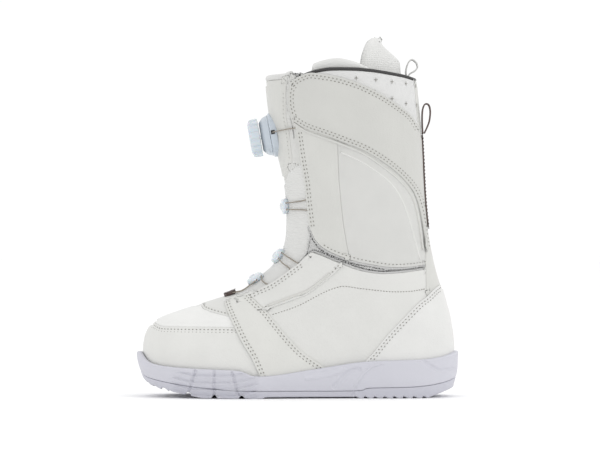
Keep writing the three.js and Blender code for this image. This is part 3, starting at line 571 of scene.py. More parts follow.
# ---------------------------------------------------------------- finishes
class Surface(Enum):
    """How a material's face is made."""

    SMOOTH = "smooth"
    GRAIN = "embossed grain"
    WOVEN = "plain weave"
    KNIT = "knitted mesh"
    RIBBED = "ribbed cloth"
    TAPE = "herringbone tape"
    CAST = "moulded, faintly rough"


def colour(hex_value: str) -> tuple[float, float, float, float]:
    """A colour given in sRGB hex, in the linear values shaders take."""
    parts = [int(hex_value[i : i + 2], 16) / 255 for i in (1, 3, 5)]
    return (*[c / 12.92 if c <= 0.04045 else ((c + 0.055) / 1.055) ** 2.4 for c in parts], 1.0)


def add_node(tree: bpy.types.NodeTree, kind: str, settings: dict | None = None, **inputs) -> bpy.types.Node:
    """Adds a shader node.

    Args:
        tree: The material's nodes.
        kind: The node's type.
        settings: Its own properties.
        **inputs: Its sockets by name, spaces as underscores, given values or other nodes' outputs.

    Returns:
        The node.
    """
    node = tree.nodes.new(kind)
    for name, value in (settings or {}).items():
        setattr(node, name, value)
    for name, value in inputs.items():
        key = int(name[1:]) if name[0] == "_" else name.replace("_", " ")
        if isinstance(value, bpy.types.NodeSocket):
            tree.links.new(value, node.inputs[key])
        else:
            node.inputs[key].default_value = value
    return node


def arithmetic(tree: bpy.types.NodeTree, operation: str, first, second=0.0) -> bpy.types.NodeSocket:
    """The result of one sum on two values or sockets."""
    return add_node(tree, "ShaderNodeMath", {"operation": operation}, _0=first, _1=second).outputs[0]


@dataclass(frozen=True)
class Finish:
    """A material: what it is, its colour and how its surface is made.

    Attributes:
        name: The real material.
        tint: Its colour, in sRGB hex.
        surface: How its face is made.
        pitch: The size of its pattern, in mm.
        depth: The depth of its pattern, in mm.
        roughness: How matt it is.
        mottle: How far its colour drifts.
        metal: 1 for bare metal.
        coat: Clear lacquer over it.
        clear: How much light goes through.
        fuzz: Soft edge light, as on cloth.
        soft: How much light spreads under its face.
    """

    name: str
    tint: str
    surface: Surface = Surface.SMOOTH
    pitch: float = 1.0
    depth: float = 0.1
    roughness: float = 0.5
    mottle: float = 0.03
    metal: float = 0.0
    coat: float = 0.0
    clear: float = 0.0
    fuzz: float = 0.0
    soft: float = 0.0

    def material(self) -> bpy.types.Material:
        """The Blender material, made once."""
        found = bpy.data.materials.get(self.name)
        if found is not None:
            return found
        made = bpy.data.materials.new(self.name)
        made.use_nodes = True
        tree = made.node_tree
        shader = tree.nodes["Principled BSDF"]
        shader.inputs["Roughness"].default_value = self.roughness
        shader.inputs["Metallic"].default_value = self.metal
        shader.inputs["Coat Weight"].default_value = self.coat
        shader.inputs["Coat Roughness"].default_value = 0.12
        shader.inputs["Transmission Weight"].default_value = self.clear
        shader.inputs["Sheen Weight"].default_value = self.fuzz
        shader.inputs["Subsurface Weight"].default_value = self.soft
        shader.inputs["Subsurface Scale"].default_value = 2 * MM
        base = colour(self.tint)
        shader.inputs["Base Color"].default_value = base
        place = add_node(tree, "ShaderNodeTexCoord")
        if self.mottle:
            cloud = add_node(
                tree, "ShaderNodeTexNoise", Vector=place.outputs["Object"], Scale=45.0, Detail=3.0
            )
            darker = tuple(c * (1 - 2 * self.mottle) for c in base[:3]) + (1.0,)
            lighter = tuple(min(1.0, c * (1 + self.mottle)) for c in base[:3]) + (1.0,)
            mix = add_node(
                tree, "ShaderNodeMix", {"data_type": "RGBA"}, _0=cloud.outputs["Fac"], _6=darker,
                _7=lighter,
            )
            tree.links.new(mix.outputs[2], shader.inputs["Base Color"])
        height = self.height(tree, place)
        if height is not None:
            bump = add_node(tree, "ShaderNodeBump", Strength=1.0, Distance=self.depth * MM, Height=height)
            tree.links.new(bump.outputs[0], shader.inputs["Normal"])
        return made

    def height(self, tree: bpy.types.NodeTree, place: bpy.types.Node) -> bpy.types.NodeSocket | None:
        """The nodes for the height of the pattern, from 0 to 1."""
        solid, flat = place.outputs["Object"], place.outputs["UV"]
        if self.surface is Surface.GRAIN:
            cells = add_node(
                tree, "ShaderNodeTexVoronoi", {"feature": "SMOOTH_F1"}, Vector=solid,
                Scale=1000 / self.pitch, Smoothness=0.6
            )
            fine = add_node(tree, "ShaderNodeTexNoise", Vector=solid, Scale=400 / self.pitch, Detail=2.0)
            return arithmetic(tree, "ADD", cells.outputs["Distance"], fine.outputs["Fac"])
        if self.surface is Surface.CAST:
            return add_node(
                tree, "ShaderNodeTexNoise", Vector=solid, Scale=1000 / self.pitch, Detail=2.0
            ).outputs["Fac"]
        if self.surface is Surface.KNIT:
            cells = add_node(
                tree, "ShaderNodeTexVoronoi", {"voronoi_dimensions": "2D"}, Vector=flat,
                Scale=1 / self.pitch, Randomness=0.25
            )
            return arithmetic(tree, "SUBTRACT", 1.0, cells.outputs["Distance"])
        if self.surface in (Surface.WOVEN, Surface.RIBBED, Surface.TAPE):
            parts = add_node(tree, "ShaderNodeSeparateXYZ", Vector=flat)
            turn = 2 * math.pi / self.pitch
            along = arithmetic(tree, "MULTIPLY", parts.outputs[0], turn)
            up = arithmetic(tree, "MULTIPLY", parts.outputs[1], turn)
            if self.surface is Surface.RIBBED:
                return arithmetic(tree, "SINE", up)
            if self.surface is Surface.TAPE:
                chevron = arithmetic(tree, "PINGPONG", parts.outputs[0], 2.5)
                return arithmetic(
                    tree, "SINE",
                    arithmetic(tree, "ADD", up, arithmetic(tree, "MULTIPLY", chevron, turn)),
                )
            one = arithmetic(tree, "SINE", arithmetic(tree, "ADD", along, up))
            two = arithmetic(tree, "SINE", arithmetic(tree, "SUBTRACT", along, up))
            return arithmetic(tree, "MULTIPLY", one, two)
        return None


def leather(part: str, tint: str) -> Finish:
    """Coated synthetic leather, embossed with a fine pebble grain."""
    return Finish(f"synthetic leather, {part}", tint, Surface.GRAIN, 1.1, 0.09, 0.46, coat=0.05)


# Coated leather, a little different in tint from panel to panel; the darker cuff and cuff strap tints are
# painted shade, standing in for the shade over the front of the cuff.
RAND_LEATHER = leather("toe rand", "#dadad7")
VAMP_LEATHER = leather("vamp", "#e4e4e2")
STRAP_LEATHER = leather("forefoot strap", "#d6d6d2")
QUARTER_LEATHER = leather("quarter", "#d7d7d4")
HEEL_LEATHER = leather("heel", "#dcdcda")
# Cuff and cuff strap: tints darkened as painted shade.
CUFF_LEATHER_PAINTED_SHADE = leather("cuff", "#cdcdc9")
CUFF_STRAP_LEATHER_PAINTED_SHADE = leather("cuff strap", "#c8c8c4")
TONGUE_LEATHER = leather("tongue", "#cfcfcb")
# Plain-woven polyester backed with foam.
SIDE_CLOTH = Finish("woven polyester", "#d9d9d6", Surface.WOVEN, 1.3, 0.12, 0.85, fuzz=0.2)
COLLAR_CLOTH = Finish("brushed polyester, collar", "#dfdfde", Surface.WOVEN, 0.9, 0.08, 0.9, fuzz=0.3)
TONGUE_CLOTH = Finish("ribbed polyester", "#dadad8", Surface.RIBBED, 1.5, 0.1, 0.85, fuzz=0.2)
STRETCH_CLOTH = Finish("elastic knit, grey", "#c4c4c3", Surface.RIBBED, 1.6, 0.18, 0.9, fuzz=0.2)
LINER_CLOTH = Finish("fleece-backed knit", "#dfdfdd", Surface.WOVEN, 1.8, 0.14, 0.95, fuzz=0.4)
LINER_MESH = Finish("spacer mesh", "#dededc", Surface.KNIT, 1.9, 0.5, 0.95, fuzz=0.3)
BINDING_CLOTH = Finish("folded tricot binding", "#d3d3d1", Surface.WOVEN, 0.8, 0.06, 0.8, fuzz=0.3)
PIPING = Finish("charcoal cord piping", "#3b3a3a", Surface.CAST, 0.7, 0.12, 0.7)
WEBBING = Finish("brown polyester webbing", "#6b5a56", Surface.TAPE, 1.0, 0.25, 0.75, fuzz=0.2)
WHITE_TAPE = Finish("white polyester tape", "#e0e0de", Surface.TAPE, 1.0, 0.2, 0.8, fuzz=0.2)
THREAD = Finish("bonded nylon thread", "#7b7870", Surface.SMOOTH, roughness=0.55, mottle=0.0)
PALE_THREAD = Finish("bonded nylon thread, pale", "#b9b9b3", Surface.SMOOTH, roughness=0.55, mottle=0.0)
DARK_THREAD = Finish("bonded nylon thread, black", "#2c2b2b", Surface.SMOOTH, roughness=0.5, mottle=0.0)
# Moulded plastics and rubbers.
FOAM = Finish("moulded EVA foam", "#c9c9d1", Surface.CAST, 1.2, 0.05, 0.55, mottle=0.012)
RUBBER = Finish("moulded rubber", "#c3c3cc", Surface.CAST, 1.0, 0.05, 0.5, mottle=0.015)
ICE_PLASTIC = Finish("clear nylon, ice blue", "#cbd4db", roughness=0.2, mottle=0.0, coat=0.5, soft=0.15)
ICE_CORE = Finish("nylon, ice blue", "#bec7d0", roughness=0.35, mottle=0.0, coat=0.3)
BLACK_PLASTIC = Finish("acetal, black", "#1d1e20", roughness=0.4, mottle=0.0)
STEEL = Finish("polished stainless steel", "#dfe2e6", roughness=0.12, mottle=0.0, metal=1.0)
WIRE = Finish("coated steel cable", "#958d82", roughness=0.4, mottle=0.0, metal=0.2)
BOARD = Finish("pressed fibre board", "#b39f7a", Surface.CAST, 1.5, 0.1, 0.9)


# ---------------------------------------------------------------- outlines of the panels
OUTLINES: dict[str, Callable[[], Points]] = {
    "toe": lambda: chain(seam("rand"), seam("strap_middle", 3, 5), [(-11, 12), (-FAR, 12)]),
    "vamp": lambda: chain(
        seam("rand"), seam("strap_middle", 2, 3, True), seam("throat", back=True),
        [(-89.5, 130), (-FAR, 130)],
    ),
    "throat": lambda: chain(seam("throat"), seam("strap_middle", 0, 2, True), [(-60, 130), (-89.5, 130)]),
    "quarter": lambda: chain(
        seam("strap_middle", 1), [(0, 8), (FAR, 8), (FAR, 92)], [(112.5, 92)],
        seam("ankle", back=True), seam("peak", back=True),
        seam("opening", back=True),
    ),
    "gusset": lambda: chain(
        seam("peak"), seam("ankle"), seam("cuff_bottom", back=True), seam("cuff_corner", back=True),
        seam("ankle_corner", back=True)
    ),
    "cuff": lambda: chain(
        seam("cuff_front"), seam("cuff_corner"), seam("cuff_bottom", 0, 2), seam("cuff_seam", back=True),
        seam("collar_seam", 0, 3, True),
    ),
    "cuff_side": lambda: chain(
        seam("collar_seam", 3), seam("back_seam", 3, 7), seam("cuff_bottom", 2, back=True),
        seam("cuff_seam", back=True)
    ),
    "collar": lambda: chain(seam("collar_seam"), seam("back_seam", 0, 3, True), [(60, SKY), (-8, SKY)]),
    "backstay": lambda: chain(seam("back_seam"), [(FAR, 92), (FAR, SKY)]),
    "strap": lambda: chain(seam("strap_front"), seam("strap_back", back=True), [(-56, 89)]),
    "eyestay": lambda: chain(
        seam("opening", 1), seam("peak"), seam("ankle", 0, 2), seam("eyestay_lower", back=True),
        seam("strap_back", 0, 1, True)
    ),
    "heel": lambda: chain(seam("heel"), [(FAR, 0), (56, 0)]),
    "cuff_strap": lambda: chain(
        seam("overlay_upper"), seam("back_seam", 2, 6), seam("overlay_lower", back=True),
        [(-9.2, 259), (-9.6, 271)]
    ),
    "tongue": lambda: chain(
        seam("strap_middle", 0, 1), seam("opening"), seam("ankle_corner"),
        seam("cuff_front", back=True), [(-8, SKY), (-FAR, SKY), (-FAR, 97)],
        [(-58.5, 97)],
    ),
}


def clipped(outline: Points, line: str, by: float, keep: int) -> Points:
    """The part of an outline above (1) or below (-1) a named line moved by a distance."""
    points = thickened_outline(outline, 1.0)
    away = (points[:, 1] - height_of(line, points[:, 0], by)) * keep < 0
    if not away.any():
        return points
    start = int(np.argmax(~away & np.roll(away, 1)))
    points, away = np.roll(points, -start, axis=0), np.roll(away, -start)
    rows: list[Points] = []
    i = 0
    while i < len(points):
        j = i
        while j < len(points) and away[j] == away[i]:
            j += 1
        if away[i]:
            ends = points[i - 1, 0], points[j % len(points), 0]
            x = np.linspace(*ends, max(2, int(abs(ends[1] - ends[0]))))
            rows.append(np.stack([x, height_of(line, x, by)], 1))
        else:
            rows.append(points[i:j])
        i = j
    return chain(*rows)


def under(outline: Points, line: str, by: float) -> Points:
    """The part of an outline under a named line moved by a distance."""
    return clipped(outline, line, by, -1)


def over(outline: Points, line: str, by: float) -> Points:
    """The part of an outline over a named line moved by a distance."""
    return clipped(outline, line, by, 1)


# ---------------------------------------------------------------- tubes, stitches and turned pieces
def tube(
    name: str, path: Sequence[Vector], radius: float, finish: Finish, sides: int = 10
) -> bpy.types.Object:
    """A round cord along a path.

    Args:
        name: The piece's name.
        path: Its middle line, in metres.
        radius: In mm.
        finish: Its material.
        sides: How many sides its section has.

    Returns:
        The closed mesh.
    """
    line = bpy.data.curves.new(name, "CURVE")
    line.dimensions = "3D"
    line.bevel_depth = radius * MM
    line.bevel_resolution = max(0, sides // 2 - 2)
    line.use_fill_caps = True
    spline = line.splines.new("POLY")
    spline.points.add(len(path) - 1)
    for point, place in zip(spline.points, path):
        point.co = (*place, 1)
    holder = bpy.data.objects.new(name + " line", line)
    bpy.context.scene.collection.objects.link(holder)
    bpy.context.view_layer.update()
    bm = bmesh.new()
    bm.from_mesh(holder.evaluated_get(bpy.context.evaluated_depsgraph_get()).to_mesh())
    bmesh.ops.remove_doubles(bm, verts=bm.verts[:], dist=1e-7)
    bmesh.ops.recalc_face_normals(bm, faces=bm.faces[:])
    bpy.data.objects.remove(holder)
    bpy.data.curves.remove(line)
    return new_object(name, bm, finish.material())


def through(points: Sequence[Vector], steps: int = 8) -> list[Vector]:
    """A smooth path through points in space."""
    p = np.array(points, float)
    out = []
    for i in range(len(p) - 1):
        a, b = p[i], p[i + 1]
        before, after = p[max(i - 1, 0)], p[min(i + 2, len(p) - 1)]
        t = np.arange(steps)[:, None] / steps
        va, vb = (b - before) / 2, (after - a) / 2
        out.append((2 * a - 2 * b + va + vb) * t**3 + (-3 * a + 3 * b - 2 * va - vb) * t**2 + va * t + a)
    return [Vector(v) for v in np.vstack([*out, p[-1:]])]


def on_form(line: Points, side: int, lift: float) -> Points:
    """A side-view line laid on one side of the form, in metres."""
    z = line[:, 1]
    places = FORM.place(side * FORM.angle_at(line[:, 0], z), z, lift)
    places[:, 0] += SHIFT_X
    return places * MM


def in_sight(line: Points, margin: float = 1.0) -> Points:
    """The part of a side-view line that lies inside the form's outline."""
    ends = FORM.column(FORM.ends, line[:, 1])
    return line[(line[:, 0] > ends[:, 0] + margin) & (line[:, 0] < ends[:, 1] - margin)]


def every(path: Points, pitch: float) -> tuple[Points, Points]:
    """Places and directions at even distances along a path, in metres."""
    gaps = np.linalg.norm(np.diff(path, axis=0), axis=1)
    along = np.concatenate([[0], np.cumsum(gaps)])
    at = np.arange(pitch / 2, along[-1], pitch)
    places = np.stack([np.interp(at, along, path[:, k]) for k in range(3)], 1)
    ahead = np.stack([np.interp(at + pitch / 4, along, path[:, k]) for k in range(3)], 1)
    behind = np.stack([np.interp(at - pitch / 4, along, path[:, k]) for k in range(3)], 1)
    heading = ahead - behind
    return places, heading / np.linalg.norm(heading, axis=1, keepdims=True)


@dataclass
class Stitches:
    """Rows of thread lying on the panels that ride on one body.

    Attributes:
        name: The piece's name.
        body: The body that the rows move with; not used.
        finish: The thread.
        length: Of one stitch, in mm.
        thick: Of the thread, in mm.
    """

    name: str
    body: str
    finish: Finish
    length: float = 1.7
    thick: float = 0.78
    turns: list[Matrix] = field(default_factory=list)

    def one(self, place: Points, heading: Points, out: Points, length: float | None = None) -> None:
        """Adds one stitch at a place, along a heading, standing up in the direction out."""
        along = Vector(heading).normalized()
        up = Vector(out) - along * along.dot(Vector(out))
        up.normalize()
        turn = Matrix((along, up.cross(along), up)).transposed().to_4x4()
        size = Matrix.Diagonal(
            ((length or self.length) / 2 * MM, self.thick / 2 * MM, self.thick * 0.42 * MM, 1)
        )
        self.turns.append(Matrix.Translation(Vector(place)) @ turn @ size)

    def row(self, line: Points, side: int, lift: float, pitch: float = 3.6) -> None:
        """Sews a row along a side-view line.

        Args:
            line: The line, in mm.
            side: -1 for the outer side of the boot, 1 for the inner.
            lift: Height of the face that it lies on, in mm from the form.
            pitch: From one stitch to the next, in mm.
        """
        seen = in_sight(line)
        if len(seen) < 3:
            return
        places, headings = every(on_form(seen, side, lift), pitch * MM)
        z = places[:, 2] / MM
        out = FORM.normal(side * FORM.angle_at(places[:, 0] / MM - SHIFT_X, z), z)
        for place, heading, up in zip(places, headings, out):
            self.one(place, heading, up)

    def build(self) -> bpy.types.Object:
        """Makes the rows' object: one small bead of thread, copied to each place."""
        bead = bmesh.new()
        bmesh.ops.create_uvsphere(bead, u_segments=6, v_segments=4, radius=1)
        shape = np.array([[*v.co, 1] for v in bead.verts])
        pattern = bpy.data.meshes.new("bead")
        bead.to_mesh(pattern)
        bead.free()
        bm = bmesh.new()
        for _ in self.turns:
            bm.from_mesh(pattern)
        bpy.data.meshes.remove(pattern)
        piece = new_object(self.name, bm, self.finish.material())
        places = np.einsum("nij,kj->nki", np.array([np.array(t) for t in self.turns]), shape)[..., :3]
        piece.data.vertices.foreach_set("co", places.astype(np.float32).ravel())
        piece.data.update()
        return piece


def moulded(
    name: str, outline: Sequence[tuple[float, float]], width: float, finish: Finish, soft: float,
    middle: float = 0.0
) -> bpy.types.Object:
    """A side-view outline extruded across the boot, with rounded edges.

    Args:
        name: The piece's name.
        outline: Closed, in mm.
        width: Across the boot, in mm.
        finish: Its material.
        soft: The radius of its edges, in mm.
        middle: Where its middle lies across the boot.

    Returns:
        The object.
    """
    bm = bmesh.new()
    low = middle - width / 2
    face = bm.faces.new([bm.verts.new(((x + SHIFT_X) * MM, low * MM, z * MM)) for x, z in outline])
    far = bmesh.ops.extrude_face_region(bm, geom=[face], use_keep_orig=True)["geom"]
    bmesh.ops.translate(
        bm, vec=(0, width * MM, 0), verts=[v for v in far if isinstance(v, bmesh.types.BMVert)]
    )
    rims = [e for e in bm.edges if abs(e.verts[0].co.y - e.verts[1].co.y) < 1e-6]
    bmesh.ops.bevel(bm, geom=rims, offset=soft * MM, segments=2, profile=0.5, affect="EDGES", material=-1)
    bmesh.ops.recalc_face_normals(bm, faces=bm.faces[:])
    return new_object(name, bm, finish.material())


def turned(
    bm: bmesh.types.BMesh, profile: Sequence[tuple[float, float]], steps: int, place: Matrix
) -> list:
    """Spins a profile of radii and heights, in mm, about the local z axis, and closes it.

    Args:
        bm: The mesh to add to.
        profile: Radii and heights, starting and ending on the axis or closing on itself.
        steps: How many steps go round.
        place: From the local millimetres to the frame.

    Returns:
        The new vertices.
    """
    verts = [bm.verts.new((r, 0, z)) for r, z in profile]
    edges = [bm.edges.new(pair) for pair in zip(verts, verts[1:])]
    before = set(bm.verts) - set(verts)
    bmesh.ops.spin(
        bm, geom=[*verts, *edges], cent=(0, 0, 0), axis=(0, 0, 1), angle=2 * math.pi, steps=steps,
        use_merge=True
    )
    made = [v for v in bm.verts if v not in before]
    bmesh.ops.remove_doubles(bm, verts=made, dist=1e-4)
    made = [v for v in bm.verts if v.is_valid and v not in before]
    bmesh.ops.transform(bm, matrix=place, verts=made)
    bmesh.ops.recalc_face_normals(bm, faces=bm.faces[:])
    return made


def rounded(
    profile: Sequence[tuple[float, float]], radius: float, steps: int = 3
) -> list[tuple[float, float]]:
    """A profile with its inner corners rounded."""
    p = [Vector(v) for v in profile]
    out = [tuple(p[0])]
    for before, corner, after in zip(p, p[1:], p[2:]):
        r = min(radius, (corner - before).length * 0.45, (after - corner).length * 0.45)
        start = corner + (before - corner).normalized() * r
        end = corner + (after - corner).normalized() * r
        for k in range(steps + 1):
            t = k / steps
            out.append(tuple(start * (1 - t) ** 2 + corner * 2 * t * (1 - t) + end * t * t))
    out.append(tuple(p[-1]))
    return out


# ---------------------------------------------------------------- the upper
@dataclass
class Upper:
    """The stitched upper: base panels, overlays, their thread, and the piping of the cuff."""

    base_inner: float = -3.0
    base_outer: float = 0.0
    overlay: float = 1.8
    thread_lift: float = 0.15
    below_rim: float = -5.0  # the lower panels run on inside the cup of the sole
    below_piping: float = -3.1
    single_row: float = 2.2
    double_row: tuple[float, float] = (2.2, 4.6)
    piping: float = 1.4

    def build(self) -> None:
        """Makes every panel and sews it."""
        self.base_panels()
        self.overlays()
        self.sew()
        self.edging()

    def panel(
        self, name: str, shape: Points, across: Across, finish: Finish, slot: str,
        nodes: Sequence[str], **more,
    ) -> None:
        """Makes one panel of the boot's own body."""
        settings = {"inner": self.base_inner, "outer": self.base_outer} | more
        piece = Panel(name, shape, across, **settings).build(finish.material())
        dress(piece, "boot", slot, *nodes)

    def base_panels(self) -> None:
        """The panels that lie straight on the liner."""
        whole = {"by_front": True, "radius": 75.0}
        self.panel(
            "toe rand", over(OUTLINES["toe"](), "rim", self.below_rim), Across.TOE, RAND_LEATHER,
            "white_leather", ["toe_rand"], dip=0.5, **whole,
        )
        self.panel(
            "vamp", OUTLINES["vamp"](), Across.TOE, VAMP_LEATHER, "white_leather", ["vamp_top"],
            dip=0.25, puff=0.5, **whole,
        )
        self.panel(
            "throat", OUTLINES["throat"](), Across.TOE, QUARTER_LEATHER, "white_leather",
            ["throat_panel"], dip=0.2, puff=0.4, **whole
        )
        for label, side in SIDES.items():
            across = Across(side)
            self.panel(
                f"quarter {label}", over(OUTLINES["quarter"](), "rim", self.below_rim), across,
                QUARTER_LEATHER, "white_leather",
                [f"quarter_{label}"], radius=110.0, puff=0.5,
            )
            self.panel(
                f"ankle gusset {label}", OUTLINES["gusset"](), across, STRETCH_CLOTH, "stretch_gusset",
                [f"ankle_gusset_{label}"], outer=-0.7, roll=0.5,
            )
            self.panel(
                f"cuff front {label}", OUTLINES["cuff"](), across, CUFF_LEATHER_PAINTED_SHADE, "white_leather",
                [f"cuff_front_{label}"],
                dip=0.25, puff=0.6,
            )
            self.panel(
                f"cuff side {label}", OUTLINES["cuff_side"](), across, SIDE_CLOTH, "woven_textile",
                [f"cuff_side_{label}"],
                puff=0.7, outer=-0.2, roll=0.5,
            )
            self.panel(
                f"collar {label}", under(OUTLINES["collar"](), "cuff_top", self.below_piping), across,
                COLLAR_CLOTH, "collar_textile",
                [f"collar_{label}"], puff=0.9,
            )
        back = under(OUTLINES["backstay"](), "cuff_top", self.below_piping)
        self.panel(
            "backstay", back, Across.HEEL, CUFF_LEATHER_PAINTED_SHADE, "white_leather", ["backstay"],
            radius=60.0, puff=0.3, outer=0.3,
        )

    def overlays(self) -> None:
        """The pieces stitched over the base panels."""
        facts = {"inner": 0.3, "outer": self.overlay, "dip": 0.3, "puff": 0.35}
        for label, side in SIDES.items():
            across = Across(side)
            rim = lambda name: over(OUTLINES[name](), "rim", self.below_rim)
            self.panel(
                f"forefoot strap {label}", rim("strap"), across, STRAP_LEATHER, "white_leather",
                [f"forefoot_strap_{label}"],
                radius=110.0, **facts,
            )
            self.panel(
                f"eyestay {label}", OUTLINES["eyestay"](), across, QUARTER_LEATHER, "white_leather",
                [f"eyestay_{label}"], **facts
            )
            self.panel(
                f"cuff strap {label}", OUTLINES["cuff_strap"](), across, CUFF_STRAP_LEATHER_PAINTED_SHADE,
                "white_leather", [f"cuff_strap_{label}"],
                **facts | {"puff": 0.6},
            )
        self.panel(
            "heel counter", over(OUTLINES["heel"](), "rim", self.below_rim), Across.HEEL, HEEL_LEATHER,
            "white_leather", ["heel_counter"],
            radius=90.0, **facts,
        )

    def sew(self) -> None:
        """The thread: double rows along the edges, single rows where a seam turns in."""
        boot = Stitches("thread of the upper", "boot", THREAD)
        low, high = self.base_outer + self.thread_lift, self.overlay + self.thread_lift
        double = (
            ("rand", 0, -1, low - 0.4), ("strap_front", 0, 1, high), ("strap_back", 0, -1, high),
            ("opening", 1, -1, high), ("heel", 0, -1, high), ("overlay_upper", 0, -1, high),
            ("overlay_lower", 0, 1, high), ("strap_nose", 0, 1, high), ("cuff_front", 4, 1, low + 0.1),
        )
        for side in SIDES.values():
            for name, start, inward, lift in double:
                for by in self.double_row:
                    boot.row(moved_in(seam(name, start), inward * by), side, lift)
            boot.row(moved_in(seam("throat"), self.single_row), side, low)
            boot.row(moved_in(seam("eyestay_lower"), self.single_row), side, high)
            boot.row(seam("dotted"), side, low + 0.3, 2.6)
            boot.row(moved_in(seam("cuff_bottom"), 2.6), side, low)
        dress(boot.build(), "boot", "white_leather")
        crosses = Stitches("stitched crosses of the collar", "boot", THREAD, 3.6, 0.55)
        rows = [
            [(49.5, 283.5), (66.6, 282.2), (81, 280.8), (93.6, 279.6), (102.6, 278.3)],
            [(66, 271.5), (81, 265.8), (93.6, 261.9), (103.5, 261.4)],
            [(96, 250)],
        ]
        for side in SIDES.values():
            for x, z in (spot for row in rows for spot in row):
                angle = side * FORM.angle_at(np.array([x]), np.array([z]))
                out = FORM.normal(angle, np.array([z]))[0]
                middle = FORM.on_side(x, z, 1.05, side)
                crosses.one(middle, (0, 0, 1), out, 4.6)
                crosses.one(middle, np.cross(out, (0, 0, 1)), out, 4.6)
        dress(crosses.build(), "boot", "collar_textile")

    def edging(self) -> None:
        """Piping on the cuff, and the raised cords under the leather."""
        top = seam("cuff_top")
        reach = float(FORM.angle_at(np.array([0.5]), np.array([284.0]))[0])
        turns = np.linspace(reach, 2 * math.pi - reach, 180)
        mid = FORM.point(turns, np.full(len(turns), 285.0))
        z = np.interp(mid[:, 0], top[:, 0], top[:, 1]) - self.piping
        cord = tube("cuff piping", ring_path(turns, z, -1.5), self.piping, PIPING, 12)
        dress(cord, "boot", "dark_piping", "collar_piping")
        ridges = (
            ("lace_ridge", 1.3, 1.5, CUFF_LEATHER_PAINTED_SHADE, "white_leather"),
            ("side_band", 0.9, -0.1, SIDE_CLOTH, "woven_textile"),
            ("strap_bead", 1.3, 0.2, CUFF_LEATHER_PAINTED_SHADE, "white_leather"),
        )
        for label, side in SIDES.items():
            for name, radius, lift, finish, slot in ridges:
                path = [Vector(p) for p in on_form(in_sight(seam(name), 4.0), side, lift)]
                dress(tube(f"{name} {label}", path, radius, finish, 10), "boot", slot)


def ring_path(turns: Points, z: Points, lift: float) -> list[Vector]:
    """A path round the form at angles and heights."""
    places = FORM.place(turns, z, lift)
    places[:, 0] += SHIFT_X
    return [Vector(p) for p in places * MM]


@dataclass
class Patch(Panel):
    """A small piece on the boot's own middle line, cut to a flat shape.

    Attributes:
        shape: Its outline about its own middle, across and up, in mm.
        centre: The height of its middle.
    """

    shape: Points = field(default_factory=lambda: np.zeros((0, 2)))
    centre: float = 0.0

    def __post_init__(self) -> None:
        """Finds how far a radian reaches at the piece's height."""
        middle = math.pi if self.across is Across.HEEL else 0.0
        near = FORM.point(np.array([middle, middle + 0.01]), np.full(2, self.centre))
        self.radius = float(np.linalg.norm(near[1] - near[0])) / 0.01
        self.by_front = self.across is Across.TOE

    def cut(self) -> Points:
        """The shape moved to its height."""
        return thickened_outline(self.shape, 0.9) + [0, float(self.flat(np.array([self.centre]))[0])]


def pill(width: float, height: float, corner: float, steps: int = 5) -> Points:
    """A rectangle with round corners, about its middle."""
    turns = np.linspace(0, math.pi / 2, steps)
    out = []
    for quarter, (sx, sy) in enumerate(((1, 1), (-1, 1), (-1, -1), (1, -1))):
        middle = np.array([sx * (width / 2 - corner), sy * (height / 2 - corner)])
        turn = turns + quarter * math.pi / 2
        out.append(middle + corner * np.stack([np.cos(turn), np.sin(turn)], 1))
    return np.vstack(out)


# ---------------------------------------------------------------- rings round the form
def closed_rings(
    name: str, rows: Sequence[Callable[[Points], Points]], columns: int, finish: Finish
) -> bpy.types.Object:
    """A surface of rows that each go right round the boot.

    Args:
        name: The piece's name.
        rows: Each gives its points, in mm, for shares of the way round from 0 to 1.
        columns: How many steps go round.
        finish: Its material.

    Returns:
        The object, with its own pattern coordinates.
    """
    bm = bmesh.new()
    bmesh.ops.create_grid(bm, x_segments=columns, y_segments=len(rows) - 1, size=0.5)
    table = np.array([v.co for v in bm.verts])
    column = np.rint((table[:, 0] + 0.5) * columns).astype(int)
    row = np.rint((table[:, 1] + 0.5) * (len(rows) - 1)).astype(int)
    shares = np.arange(columns + 1) / columns
    places = np.stack([made(shares) for made in rows])
    places[..., 0] += SHIFT_X
    for vert, place in zip(bm.verts, places[row, column] * MM):
        vert.co = place
    bmesh.ops.remove_doubles(bm, verts=bm.verts[:], dist=2e-6)
    bmesh.ops.recalc_face_normals(bm, faces=bm.faces[:])
    piece = new_object(name, bm, finish.material())
    spots = np.array([v.co for v in piece.data.vertices]) / MM
    lay_pattern(piece, np.stack([np.arctan2(spots[:, 1], spots[:, 0] - 35) * 62, spots[:, 2]], 1))
    return piece


def to_middle(places: Points, share: float) -> Points:
    """Points of a ring drawn in towards the boot's middle line by a share."""
    out = places.copy()
    forward = np.clip((40 - out[:, 0]) / 185, 0, 1)
    middle = TOE_TURN * (forward**2 - 0.12)
    out[:, 1] = out[:, 1] * (1 - share) + middle * share
    return out


def smoothstep(low: float, high: float, value: Points) -> Points:
    """0 below low, 1 above high, and smooth between."""
    t = np.clip((value - low) / (high - low), 0, 1)
    return t * t * (3 - 2 * t)


TREAD = [
    (-FAR, 30), (-142, 20.7), (-138, 15.3), (-133, 11.2), (-121.5, 7.2), (-101.7, 3.6), (-85.5, 0),
    (-33, 0), (-31, 1.2),
    (47, 1.2), (49, 0), (113, 0), (119.7, 2.5), (135, 8.1), (140.4, 12.6), (145, 19), (FAR, 30),
]
